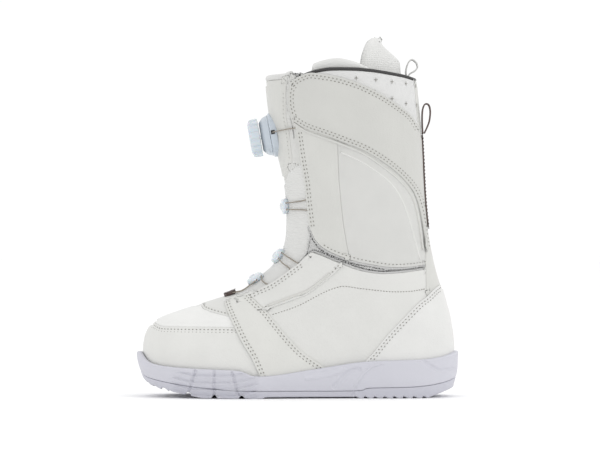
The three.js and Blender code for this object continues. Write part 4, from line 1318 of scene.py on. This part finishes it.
# The sculpted side of the sole: line, depth (or height) and half width, in mm.
GROOVES: list[tuple[list[tuple[float, float]], float, float]] = [
    ([(-91.2, 24.6), (-97.1, 7.5), (-99.7, 2)], -1.7, 1.25),
    ([(-75.1, 24.6), (-75.7, 0.5)], -1.7, 1.25),
    ([(-59.6, 23.2), (-55.2, 6.6), (-51.5, 0.5)], -1.7, 1.25),
    ([(5.3, 18), (24.8, 21.2), (38.5, 25.6)], 0.75, 2.0),
    ([(30, 10.5), (34, 15), (39.4, 20.7), (46.3, 24.6), (52, 26)], -1.1, 2.0),
    ([(46.5, 5), (47.2, 7.1), (50.2, 12.9), (56, 21.7), (63.8, 28.1), (73, 31.4)], 0.9, 1.1),
    ([(107.8, 32.9), (114.6, 28.5), (122.4, 24.8), (134, 25.6)], -0.9, 1.5),
]
NOTCHES = [(-119.7, 1.8), (-99, 2.6), (-75.6, 3.2), (-51.5, 2.8)]  # place and depth, under the forefoot
HEEL_LUGS = (48.0, 112.0, 8.6)  # from, to, and from one to the next


@dataclass
class Sole:
    """The cup sole: a foam midsole with a sculpted side, and the rubber under it."""

    rim: float = 5.3
    foot: float = 1.9
    rib: float = 6.0
    columns: int = 1000

    def tread(self, x: Points) -> Points:
        """The lowest line of the rubber, with its lugs."""
        line = np.array(TREAD)
        z = np.interp(x, line[:, 0], line[:, 1])
        for place, depth in NOTCHES:
            z = z + depth * np.clip(1.25 - np.abs(x - place) / 2.2, 0, 1)
        start, end, pitch = HEEL_LUGS
        share = np.mod((x - start) / pitch, 1)
        tooth = 2.1 * np.clip(1 - share / 0.55, 0, 1) * np.clip(share / 0.08, 0, 1)
        z = z + np.where((x > start) & (x < end), tooth, 0)
        toe = np.mod((x + 142) / 6.5, 1)
        return z + np.where(x < -112, 1.3 * np.clip(1 - toe / 0.5, 0, 1), 0)

    def swell(self, x: Points, z: Points) -> Points:
        """How far the side stands out from the form, with its sculpting."""
        low = np.interp(x, *np.array(TREAD).T)
        out = self.foot + (self.rim - self.foot) * smoothstep(-4, 17, z - low)
        spots = np.stack([x, z], 1)
        for line, depth, width in GROOVES:
            out = out + depth * np.exp(-((nearest(spots, thickened_outline_open(line)) / width) ** 4))
        slope = np.where(x < -92, -0.23 * (x + 92), np.where(x > -58, 0.25 * (x + 58), 0))
        saw = np.mod((z - 2.4 - slope) / self.rib, 1)
        shelf = np.where(saw < 0.85, saw / 0.85, (1 - saw) / 0.15) - 0.5
        here = smoothstep(-114, -108, x) * (1 - smoothstep(-42, -34, x)) * (1 - smoothstep(22.5, 24, z))
        return out + 2.0 * shelf * here

    def ring(
        self, turns: Points, height: Callable[[Points], Points], inward: float, share: float = 0.0
    ) -> Points:
        """One row of the sole, its height worked out from where it lies."""
        angle = turns * 2 * math.pi - math.pi
        z = height(FORM.point(angle, np.full(len(angle), 22.0))[:, 0])
        z = height(FORM.point(angle, z)[:, 0])
        x = FORM.point(angle, z)[:, 0]
        lift = self.swell(x, z) - inward
        places = FORM.place(angle, z, lift)
        places[:, 2] = z
        return to_middle(places, share)

    def build(self) -> None:
        """Makes the midsole and the outsole."""
        parting = lambda x: height_of("outsole_top", x)
        rim = lambda x: height_of("rim", x)
        between = lambda low, high, t: lambda x: low(x) * (1 - t) + high(x) * t
        at = lambda height, inward, share=0.0: lambda turns: self.ring(turns, height, inward, share)
        up = lambda line, by: lambda x: line(x) + by
        rows = [at(up(parting, 0.25), 12), at(up(parting, 0.25), 0.7), at(up(parting, 0.6), 0.1)]
        rows += [at(between(up(parting, 0.9), up(rim, -1.2), t), 0) for t in np.linspace(0, 1, 40)]
        rows += [
            at(up(rim, -0.55), 0.35), at(up(rim, -0.1), 1.1), at(rim, 2.0), at(rim, 3.8),
            at(up(rim, -0.6), 4.7),
        ]
        rows += [at(up(rim, -6), 5.0), at(up(parting, 0.25), 12)]
        midsole = closed_rings("midsole", rows, self.columns, FOAM)
        dress(midsole, "boot", "midsole_foam", "midsole")
        top = up(parting, -0.05)
        rows = [at(top, 12, 1.0), at(top, 12, 0.5), at(top, 12), at(top, 0.5), at(up(parting, -0.4), 0)]
        rows += [at(between(up(parting, -0.8), up(self.tread, 0.9), t), 0) for t in np.linspace(0, 1, 14)]
        rows += [at(up(self.tread, 0.3), 0.35), at(self.tread, 1.1)]
        rows += [at(self.tread, 1.1, k) for k in (0.03, 0.08, 0.2, 0.4, 0.6, 0.8, 1.0)]
        dress(closed_rings("outsole", rows, self.columns, RUBBER), "boot", "sole_rubber", "outsole")


def thickened_outline_open(line: Sequence[tuple[float, float]], step: float = 0.5) -> Points:
    """An open line, smoothed, with points no further apart than step."""
    smooth = curve(line, 12)
    out = []
    for a, b in zip(smooth, smooth[1:]):
        count = max(1, int(np.linalg.norm(b - a) / step))
        out.append(a + (b - a) * np.arange(count)[:, None] / count)
    return np.vstack([*out, smooth[-1:]])


# ---------------------------------------------------------------- the tongue and the liner
def tongue_edge(z: Points) -> Points:
    """The edge of the opening in side view: its x at each height."""
    edge = np.vstack([seam("opening"), seam("ankle_corner"), seam("cuff_front", back=True), [(-8.0, SKY)]])
    edge = edge[np.argsort(edge[:, 1], kind="stable")]
    return np.interp(z, edge[:, 1], edge[:, 0])


@dataclass
class Tongue:
    """The outer tongue: padded cloth faced with leather above and ribbed cloth below."""

    front: float = -3.0
    face: float = 1.5
    padding: tuple[float, float] = (-9.4, -4.7)
    binding: float = 3.0
    binding_depth: float = -6.2
    radius: float = 45.0

    def build(self) -> None:
        """Makes the tongue's layers and its rolled top."""
        region = OUTLINES["tongue"]()
        facing = chain(seam("facing"), seam("facing_lower"), [(-FAR, 184), (-FAR, SKY), (-13.5, SKY)])
        behind = chain(
            seam("facing", 1), [(0.5, 204)], seam("cuff_front", 0, 5, True),
            [(-8, SKY), (-13.5, SKY)],
        )
        lower = chain(
            seam("strap_middle", 0, 1), seam("opening"), seam("ankle_corner"),
            seam("cuff_front", 5, back=True),
            [(-12, 204)], seam("facing_lower"), [(-FAR, 184), (-FAR, 97), (-58.5, 97)],
        )
        facts = {"inner": self.front - self.face, "outer": self.front, "roll": 0.6}
        whole = {"by_front": True, "radius": self.radius}
        pieces = [
            Panel(
                "tongue padding", under(region, "tongue_top", 1.6), Across.TOE, *self.padding, 1.6,
                margin=1.0, **whole,
            ),
            Panel(
                "tongue facing", under(facing, "tongue_top", 1.0), Across.TOE, puff=0.6, dip=0.3,
                **facts, **whole,
            ),
            Panel("tongue lower facing", lower, Across.TOE, puff=0.3, margin=1.0, **facts, **whole),
        ]
        details = [
            (COLLAR_CLOTH, "collar_textile", "tongue_body"),
            (TONGUE_LEATHER, "white_leather", "tongue_facing_upper"),
            (TONGUE_CLOTH, "woven_textile", "tongue_facing_lower"),
        ]
        for panel, (finish, slot, node) in zip(pieces, details):
            dress(panel.build(finish.material()), "tongue", slot, node)
        for label, side in SIDES.items():
            panel = Panel(
                f"tongue side {label}", under(behind, "tongue_top", 1.0), Across(side), radius=self.radius,
                margin=0.5, puff=0.4, **facts
            )
            dress(
                panel.build(SIDE_CLOTH.material()), "tongue", "woven_textile",
                f"tongue_facing_side_{label}",
            )
        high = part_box("tongue_binding")[1]
        reach = float(FORM.angle_at(np.array([-10.5]), np.array([281.0]))[0])
        turns = np.linspace(-reach, reach, 60)
        z = np.full(60, high.z / MM - self.binding - 0.4)
        x = FORM.point(turns, z)[:, 0]
        z = z + height_of("tongue_top", x) - height_of("tongue_top", np.array([-12.0]))
        path = ring_path(turns, z, self.binding_depth)
        roll = tube("tongue binding", path, self.binding, BINDING_CLOTH, 16)
        dress(roll, "tongue", "binding", "tongue_binding")
        rows = Stitches("thread of the tongue", "tongue", PALE_THREAD, thick=0.5)
        for side in SIDES.values():
            line = moved_in(seam("facing"), -2.4)
            rows.row(line[(line[:, 1] < 274) & (line[:, 1] > 210)], side, self.front + 0.35)
        dress(rows.build(), "tongue", "white_leather")


@dataclass
class Liner:
    """The soft boot inside: a padded sock open at the front, its tongue, back pad and footbed."""

    face: float = -4.2
    foot_wall: float = 4.8
    shaft_wall: float = 8.8
    floor: float = 8.0
    lowest: float = 62.0
    girth: float = 260.0
    lip: float = 5.0  # radius of the front edges
    tongue_gap: float = 0.9

    def wall(self, z: Points) -> Points:
        """The thickness of the padding."""
        return self.foot_wall + (self.shaft_wall - self.foot_wall) * smoothstep(72, 125, z)

    def row(self, share: float, inside: bool, crown: float = 0.0) -> Callable[[Points], Points]:
        """One row of the sock: a share of the way up, on its outer or inner face, or over its crown."""

        def places(turns: Points) -> Points:
            high = np.full(len(turns), 288.0)
            x = FORM.point(self.angle(turns, high), high)[:, 0]
            top = height_of("liner_top", x) - self.shaft_wall / 2
            z = self.lowest + share * (top - self.lowest)
            thick = self.wall(z)
            centre = self.face - thick / 2
            angle = self.angle(turns, z)
            gap = np.minimum(turns, 1 - turns) * self.girth
            full = np.where(z > 95, np.sqrt(1 - (1 - np.clip(gap / self.lip, 0, 1)) ** 2), 1)
            out = math.cos(crown) * (-1 if inside and not crown else 1)
            lift = centre + thick / 2 * out * full
            spots = FORM.place(angle, z, lift)
            spots[:, 2] = z + math.sin(crown) * thick / 2 * full
            return spots

        return places

    def angle(self, turns: Points, z: Points) -> Points:
        """Angles round the form that leave the opening for the tongue free."""
        edge = np.where(z > 97, FORM.angle_at(tongue_edge(z) + self.tongue_gap, z), 0)
        return edge + turns * (2 * math.pi - 2 * edge)

    def build(self) -> None:
        """Makes the sock, tongue, back pad and footbed."""
        rows = [self.row(t, False) for t in np.linspace(0, 1, 60)]
        rows += [self.row(1, False, turn) for turn in np.linspace(0, math.pi, 11)[1:-1]]
        rows += [self.row(t, True) for t in np.linspace(1, 0, 60)]
        sock = closed_rings("liner sock", rows, 260, LINER_CLOTH)
        dress(sock, "boot", "liner_textile", "liner_lateral", "liner_medial")
        region = under(OUTLINES["tongue"](), "tongue_top", 1.0)
        tongue = Panel(
            "liner tongue", region, Across.TOE, -18.2, -10.6, 3.4, puff=0.3, by_front=True,
            radius=36.0, margin=2.0
        ).build(LINER_CLOTH.material())
        dress(tongue, "liner_tongue", "liner_textile", "liner_tongue")
        pad = Panel(
            "liner back pad", chain(curve(LINES["pad"]), [(FAR, 290), (FAR, 236)]), Across.HEEL,
            -22.0, -13.5, 4.0, radius=50.0,
        ).build(LINER_MESH.material())
        dress(pad, "boot", "liner_textile", "liner_back_pad")
        self.footbed()

    def footbed(self) -> None:
        """The removable footbed on the liner's own sole."""

        def layer(up: float, inward: float, share: float) -> Callable[[Points], Points]:
            def places(turns: Points) -> Points:
                angle = turns * 2 * math.pi - math.pi
                z = np.full(len(angle), 40.0)
                x = FORM.point(angle, z)[:, 0]
                z = height_of("floor", x) + up
                spots = FORM.place(angle, z, -9.4 - inward)
                spots[:, 2] = z
                return to_middle(spots, share)

            return places

        rows = [
            layer(3.0, 0, 1.0), layer(3.0, 0, 0.4), layer(3.0, 0, 0), layer(3.0, -0.3, 0),
            layer(self.floor + 2.4, 0, 0),
        ]
        rows += [layer(self.floor + 3.2, 0.9, k) for k in (0, 0.15, 0.4, 0.7, 1.0)]
        bed = closed_rings("footbed", rows, 160, LINER_CLOTH)
        dress(bed, "boot", "liner_textile", "footbed", "liner_sole")


# ---------------------------------------------------------------- the reel, the guides and the lace
REEL_TILT = math.radians(10)
REEL = Matrix(
    (
        (-math.sin(REEL_TILT) * MM, 0, -math.cos(REEL_TILT) * MM, -0.020937),
        (0, MM, 0, 0),
        (math.cos(REEL_TILT) * MM, 0, -math.sin(REEL_TILT) * MM, 0.235091),
        (0, 0, 0, 1),
    )
)


def in_reel(x: float, y: float, z: float) -> Vector:
    """A point of the reel's own millimetres, in the frame."""
    return REEL @ Vector((x, y, z))


@dataclass
class Reel:
    """The dial that winds the lace: flange and housing on the tongue, and a knob that pulls out."""

    flange: float = 20.0
    flange_heights: tuple[float, float] = (-3.0, 3.3)
    housing: float = 18.5
    housing_heights: tuple[float, float] = (3.5, 11.9)
    bore: float = 10.3
    port: float = 3.6
    knob: float = 17.25
    cap: float = 15.1
    foot: float = 12.8
    top: float = 22.4
    ribs: int = 15
    rib_depth: float = 1.0

    def build(self) -> None:
        """Makes the visible mouldings and gives the metal and black parts their finish."""
        self.base()
        self.knob_parts()
        for node, finish, slot in (
            ("lace_spool", BLACK_PLASTIC, "black_plastic"), ("pawl_disc", BLACK_PLASTIC, "black_plastic"),
            ("reel_axle", STEEL, "bright_steel"),
        ):
            paint(node, finish, slot)

    def base(self) -> None:
        """The flange, clipped to the tongue, and the ring of the housing with its lace ports."""
        bm = bmesh.new()
        edge, (low, high) = self.flange, self.flange_heights
        profile = rounded([(0, low), (edge, low), (edge, high - 0.7), (edge - 1.6, high), (0, high)], 0.8)
        turned(bm, profile, 72, REEL)
        flange = new_object("reel flange", bm, ICE_CORE.material())
        dress(flange, "tongue", "reel_plastic", "reel_base")
        bm = bmesh.new()
        side, (low, high) = self.housing, self.housing_heights
        profile = [
            (self.bore, low), (side, low), (side, low + 0.9), (side - 0.5, low + 1.2),
            (side - 0.8, low + 2.7), (side - 1.9, high - 3.5), (side - 3.6, high - 1.7),
            (side - 5.4, high - 0.5), (side - 6.2, high), (self.bore, high), (self.bore, low),
        ]
        turned(bm, rounded(profile, 0.35, 2), 72, REEL)
        housing = new_object("reel housing", bm, ICE_CORE.material())
        dress(housing, "tongue", "reel_plastic", "reel_housing")
        bm = bmesh.new()
        for side in SIDES.values():
            made = bmesh.ops.create_cube(bm, size=1)["verts"]
            rims = list({edge for vert in made for edge in vert.link_edges})
            size = Matrix.Diagonal((self.port, 2.6, self.port, 1))
            place = Matrix.Translation((2.0, side * (self.flange - 0.9), 0.6))
            bmesh.ops.transform(bm, matrix=REEL @ place @ size, verts=made)
            bmesh.ops.bevel(bm, geom=rims, offset=0.3 * MM, segments=2, profile=0.5, affect="EDGES")
        dress(new_object("lace ports", bm, BLACK_PLASTIC.material()), "tongue", "black_plastic")

    def knob_parts(self) -> None:
        """The ribbed grip, and the cap with its raised ring and dimple."""
        bm = bmesh.new()
        profile = [
            (self.cap + 0.3, self.foot), (self.knob, self.foot), (self.knob - 0.1, self.foot + 6),
            (self.knob - 0.7, self.top - 1.4),
            (self.cap + 0.3, self.top - 1.4), (self.cap + 0.3, self.foot),
        ]
        steps = self.ribs * 12
        made = turned(bm, rounded(profile, 1.7, 4), steps, Matrix.Identity(4))
        for vert in made:
            radius = math.hypot(vert.co.x, vert.co.y)
            share = min(1.0, max(0.0, (radius - self.cap - 0.8) / 1.0))
            wave = 0.5 + 0.5 * math.cos(self.ribs * math.atan2(vert.co.y, vert.co.x))
            shrink = 1 - share * self.rib_depth * wave**4 / radius
            vert.co.x *= shrink
            vert.co.y *= shrink
        bmesh.ops.transform(bm, matrix=REEL, verts=bm.verts[:])
        grip = new_object("dial grip", bm, ICE_PLASTIC.material())
        dress(grip, "dial", "reel_plastic", "dial_grip")
        bm = bmesh.new()
        cap, top = self.cap, self.top
        profile = rounded(
            [
                (0, top - 2.6), (cap - 2, top - 2.6), (cap - 2, self.foot + 1.2),
                (cap, self.foot + 1.2), (cap, top - 1.0), (cap - 2.0, top),
                (cap - 4.2, top), (cap - 5.0, top - 0.7), (6.4, top - 0.7), (5.4, top - 0.1),
                (2.0, top - 0.6), (0, top - 0.7),
            ],
            0.5,
        )
        turned(bm, profile, 72, REEL)
        dress(new_object("dial cap", bm, ICE_PLASTIC.material()), "dial", "reel_plastic", "dial_cap")


def paint(node: str, finish: Finish, slot: str) -> None:
    """Gives a solid that stays as it is its material."""
    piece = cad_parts[node]
    piece.data.materials.clear()
    piece.data.materials.append(finish.material())


GUIDE_HEIGHTS = (170.6, 126.6, 106.5)
GUIDE_SIZE = (32.0, 14.0, 6.0)  # across, along and corner
GUIDE_END = 17.0  # where the lace leaves a guide, from its middle
GUIDE_LACE = 0.0  # how high the lace runs in a guide, from the form
LACE_RADIUS = 0.55


def guide_point(height: float, side: int, across: float, along: float, lift: float = GUIDE_LACE) -> Vector:
    """A point on the tongue's middle, moved along and across its face."""
    near = FORM.point(np.zeros(2), np.array([height - 0.5, height + 0.5]))
    climb = (near[1] - near[0]) / np.linalg.norm(near[1] - near[0])
    z = np.array([height + along * climb[2]])
    reach = (FORM.point(np.array([0.1]), z)[0, 1] - FORM.point(np.array([0.0]), z)[0, 1]) / 0.1
    return metres(FORM.place(np.array([side * across / reach]), z, lift)[0])


@dataclass
class Lacing:
    """The plastic guides on the tongue, their rivets, and the wire that runs through them."""

    def build(self) -> None:
        """Makes guides, rivets, ferrules and lace."""
        for number, height in enumerate(GUIDE_HEIGHTS, 1):
            self.guide(number, height)
        for label, side in SIDES.items():
            self.lace(label, side)

    def guide(self, number: int, height: float) -> None:
        """One guide: a crowned plate, a domed rivet, and steel ferrules where the lace leaves it."""
        width, tall, corner = GUIDE_SIZE

        def crown(x: Points, z: Points, away: Points) -> Points:
            return 0.55 * (1 - np.exp(-away / 3))

        plate = Patch(
            f"lace guide {number}", np.zeros((0, 2)), Across.TOE, -2.7, 1.3, 1.9, margin=0.05,
            step=1.6, relief=crown,
            shape=pill(width, tall, corner), centre=height,
        )
        dress(plate.build(ICE_PLASTIC.material()), "tongue", "guide_plastic", f"lace_guide_{number}")
        near = FORM.point(np.zeros(2), np.array([height - 0.5, height + 0.5]))
        up = Vector(near[1] - near[0]).normalized()
        out = Vector((-up.z, 0, up.x))
        axes = Matrix((Vector((0, 1, 0)), -up, out)).transposed().to_4x4()
        foot = metres(FORM.place(np.zeros(1), np.array([height]), 1.7)[0])
        bm = bmesh.new()
        head = [
            (0, -2.5), (2.0, -2.5), (2.0, -0.1), (3.1, 0), (2.9, 0.5), (2.1, 1.0), (1.1, 1.25),
            (0, 1.3),
        ]
        turned(bm, rounded(head, 0.4), 28, Matrix.Translation(foot) @ axes @ Matrix.Scale(MM, 4))
        dress(
            new_object(f"guide rivet {number}", bm, STEEL.material()), "tongue", "bright_steel",
            f"guide_rivet_{number}",
        )
        bm = bmesh.new()
        for side in SIDES.values():
            for along in (3.0, -3.0):
                start, end = (guide_point(height, side, x, along) for x in (14.8, GUIDE_END))
                lead = (end - start).normalized()
                turn = lead.to_track_quat("Z", "Y").to_matrix().to_4x4()
                ferrule = rounded(
                    [(0.6, 0), (1.25, 0), (1.25, 2.0), (0.95, 2.2), (0.6, 2.2), (0.6, 0)], 0.2, 2
                )
                turned(bm, ferrule, 16, Matrix.Translation(start) @ turn @ Matrix.Scale(MM, 4))
        dress(new_object(f"guide ferrules {number}", bm, STEEL.material()), "tongue", "bright_steel")

    def turn_round(self, height: float, side: int) -> list[Vector]:
        """The lace's way through a guide, round its rivet."""
        r, near, end = 3.0, 7.1, GUIDE_END
        steps = [
            (end, r), (near + r + 2, r), (near + r * 0.4, r), (near - r * 0.5, r * 0.7),
            (near - r * 0.9, 0), (near - r * 0.5, -r * 0.7), (near + r * 0.4, -r),
            (near + r + 2, -r), (end, -r),
        ]
        return [guide_point(height, side, across, along) for across, along in steps]

    def lace(self, label: str, side: int) -> None:
        """Half of the wire, in stretches that each end where the wire passes from one body to another."""
        on = lambda x, z, lift=-1.5: FORM.on_side(x, z, lift, side)
        at = lambda degrees, z, lift: FORM.at(side * degrees, z, lift)
        upper, middle, lower = (self.turn_round(height, side) for height in GUIDE_HEIGHTS)
        node = f"lace_{label}"
        ports = [in_reel(2, side * across, 0.6) for across in (13.5, 17.5, 20.6)]
        self.stretch(
            f"{node} from the reel", [*ports, on(-10.5, 239.2, -0.6), on(-4.6, 239.8)], node,
            on(-10.5, 239.2, -0.6),
        )
        hidden = [
            (-4.6, 239.8), (1, 238), (5.2, 232.5), (7, 223), (9, 204), (10.6, 186), (9.8, 180),
            (5.8, 176.8),
        ]
        self.buried(f"{node} in the cuff", [*[on(x, z) for x, z in hidden], on(0, 175, -1.4)], node)
        top_in, top_out = on(0, 175, -1.4), on(0, 167.4, -1.4)
        self.stretch(
            f"{node} to the upper guide", [*upper[:5][::-1], at(27, 174, -1), top_in], node,
            top_in,
        )
        self.stretch(
            f"{node} from the upper guide", [*upper[4:], at(27, 167.6, -1), top_out], node,
            top_out,
        )
        hidden = [
            (6, 166.8), (11.5, 165), (15, 159.5), (17.4, 151), (20, 142.5), (22, 135), (21.6, 129),
            (18.6, 123.6), (13, 120.4), (6.5, 119.4), (-1, 119.9),
        ]
        middle_in, middle_out = on(-6, 122, -1.4), on(-10.6, 116.4, -1.4)
        self.buried(f"{node} round the ankle", [top_out, *[on(x, z) for x, z in hidden], middle_in], node)
        self.stretch(
            f"{node} to the middle guide", [*middle[:5][::-1], at(29, 126.6, -0.7), middle_in],
            node, middle_in,
        )
        self.stretch(
            f"{node} from the middle guide", [*middle[4:], at(30, 120.4, -0.5), middle_out], node,
            middle_out,
        )
        hidden = [(-8.8, 112.4), (-8.6, 107.6), (-12, 103.2), (-17.5, 100.4), (-23, 99.6)]
        lower_in = on(-28.6, 101)
        self.buried(f"{node} in the eyestay", [middle_out, *[on(x, z) for x, z in hidden], lower_in], node)
        self.stretch(
            f"{node} to the lower guide", [*lower[:5][::-1], at(27.5, 105, -1.6), lower_in], node,
            lower_in,
        )
        loop = [
            at(17, 99, -1.3), at(15.5, 95.2, -0.5), at(14.5, 93, 1), at(12.5, 91.8, 1.9),
            at(6, 91.4, 1.9), at(0.6, 91.3, 1.9),
        ]
        self.stretch(f"{node} to the webbing loop", [*lower[4:], *loop], node, loop[3])

    def stretch(self, name: str, points: list[Vector], node: str, loose: Vector) -> None:
        """A stretch of wire, left in the frame on no body."""
        piece = tube(name, through(points, 6), LACE_RADIUS, WIRE, 8)
        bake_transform(piece)
        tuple(loose)
        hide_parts(node)

    def buried(self, name: str, points: list[Vector], node: str) -> None:
        """A stretch inside the leather."""
        dress(tube(name, through(points, 6), LACE_RADIUS, WIRE, 8), "boot", "lace_wire", node)


# ---------------------------------------------------------------- webbing
def band(path: Sequence[tuple[float, float]], thick: float) -> Points:
    """The side-view outline of a tape that follows a path."""
    middle = curve(path, 6)
    return np.vstack([moved_in(middle, thick / 2), moved_in(middle, -thick / 2)[::-1]])


@dataclass
class Webbing:
    """The tapes: the pull loop and its sewn strap, the liner's loop, and the loop that ends the lace."""

    width: float = 10.0
    liner_width: float = 12.0

    def build(self) -> None:
        """Makes each tape."""
        loop = [
            (110.4, 235.8), (109.9, 246), (110.1, 256), (111.5, 261.3), (113.6, 262.9),
            (116, 261.4), (117.2, 256), (116.4, 247.6),
            (114, 241), (111.8, 236.4),
        ]
        self.tape("pull loop", loop, 1.3, self.width, WEBBING, "pull_loop", "brown_webbing", "pull_loop")
        liner_loop = [
            (96.0, 287.0), (95.2, 292), (97.0, 299), (100.4, 302.6), (104.4, 300), (105.6, 295.6),
            (103, 292.4), (98.6, 289.8), (97.2, 287.0),
        ]
        self.tape(
            "liner loop", liner_loop, 1.3, self.liner_width, WHITE_TAPE, "liner_loop", "liner_tape",
            "liner_loop",
        )
        strap = Patch(
            "pull strap", np.zeros((0, 2)), Across.HEEL, 0.4, 1.8, 0.4, margin=0.05, step=1.6,
            shape=pill(self.width, 82.6, 0.6, 3),
            centre=193.4,
        )
        dress(strap.build(WEBBING.material()), "boot", "brown_webbing", "pull_strap")
        low, high = float(height_front(-68.0)), float(height_front(-58.9))
        arc = np.interp([low, high], FORM.heights, FRONT_ARC)
        loop_patch = Patch(
            "lace loop", np.zeros((0, 2)), Across.TOE, 0.4, 3.4, 1.2, margin=0.05, step=1.4,
            shape=pill(18, float(arc[1] - arc[0]), 0.8, 3),
            centre=float(np.interp(arc.mean(), FRONT_ARC, FORM.heights)),
        )
        dress(loop_patch.build(WEBBING.material()), "boot", "brown_webbing", "vamp_loop")
        bars = Stitches("thread of the webbing", "boot", DARK_THREAD, 2.0, 0.7)
        for z in np.concatenate([np.arange(155, 233, 3.2)]):
            for turn in (-3.6, 3.6):
                angle = np.array([math.pi + turn / strap.radius])
                place = FORM.place(angle, np.array([z]), 1.95)
                place[:, 0] += SHIFT_X
                bars.one(place[0] * MM, (0, 0, 1), FORM.normal(angle, np.array([z]))[0])
        dress(bars.build(), "boot", "brown_webbing")

    def tape(
        self, name: str, path: Sequence[tuple[float, float]], thick: float, width: float,
        finish: Finish, body: str, slot: str, node: str
    ) -> None:
        """One tape bent along a path in side view."""
        piece = moulded(name, band(path, thick), width, finish, 0.25)
        spots = np.array([v.co for v in piece.data.vertices]) / MM
        lay_pattern(piece, spots[:, 1:])
        dress(piece, body, slot, node)


def height_front(x: float) -> float:
    """The height at which the form's front line passes x."""
    return float(np.interp(x, FORM.ends[:, 0][FORM.heights < 120], FORM.heights[FORM.heights < 120]))


# ---------------------------------------------------------------- the studio
def studio() -> None:
    """A plain pale floor, soft light and the camera."""
    scene = bpy.context.scene
    bm = bmesh.new()
    bmesh.ops.create_grid(bm, x_segments=1, y_segments=1, size=12)
    white = Finish("matt white floor", "#ffffff", roughness=0.9, mottle=0.0)
    new_object("floor", bm, white.material())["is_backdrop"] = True
    world = bpy.data.worlds.new("studio")
    world.use_nodes = True
    back = world.node_tree.nodes["Background"]
    back.inputs["Color"].default_value = (1, 1, 1, 1)
    back.inputs["Strength"].default_value = 1.03
    scene.world = world
    lights = [
        ("key", (2.3, -1.2, 1.9), (1.2, 1.0), 9.0), ("fill", (-2.0, -1.5, 1.4), (1.2, 1.4), 1.0),
        ("top", (0.1, 0.4, 2.6), (1.6, 1.6), 5.0),
    ]
    for name, place, size, power in lights:
        light = bpy.data.lights.new(name, "AREA")
        light.shape = "RECTANGLE"
        light.size, light.size_y = size
        light.energy = power
        lamp = bpy.data.objects.new(name, light)
        lamp.location = place
        lamp.rotation_euler = (Vector((0, 0, 0.13)) - Vector(place)).to_track_quat("-Z", "Y").to_euler()
        scene.collection.objects.link(lamp)
        lamp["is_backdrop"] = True
    lens = bpy.data.cameras.new("camera")
    lens.type = "PERSP"
    lens.sensor_width = 36.0
    lens.lens = 200.0
    lens.clip_end = 60.0
    camera = bpy.data.objects.new("camera", lens)
    camera.location = (0.0024, -3.0, 0.1539)
    camera.rotation_euler = (math.radians(90), 0, 0)
    scene.collection.objects.link(camera)
    scene.camera = camera
    scene.view_settings.view_transform = "Standard"


def main() -> None:
    """Builds the boot's looks in order."""
    logging.basicConfig(level=logging.INFO, format="%(relativeCreated)7d ms  %(message)s")
    Upper().build()
    Sole().build()
    Tongue().build()
    Liner().build()
    Reel().build()
    Lacing().build()
    Webbing().build()
    for node, finish, slot in (
        ("heel_pad", FOAM, "midsole_foam"), ("shank", BLACK_PLASTIC, "shank_plastic"),
        ("lasting_board", BOARD, "lasting_board"),
    ):
        paint(node, finish, slot)
    studio()
    plain = lambda box: [list(map(float, corner)) for corner in box]
    {"cad": plain(CAD_BOX), "visual": plain(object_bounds())}


if __name__ == "__main__":
    main()
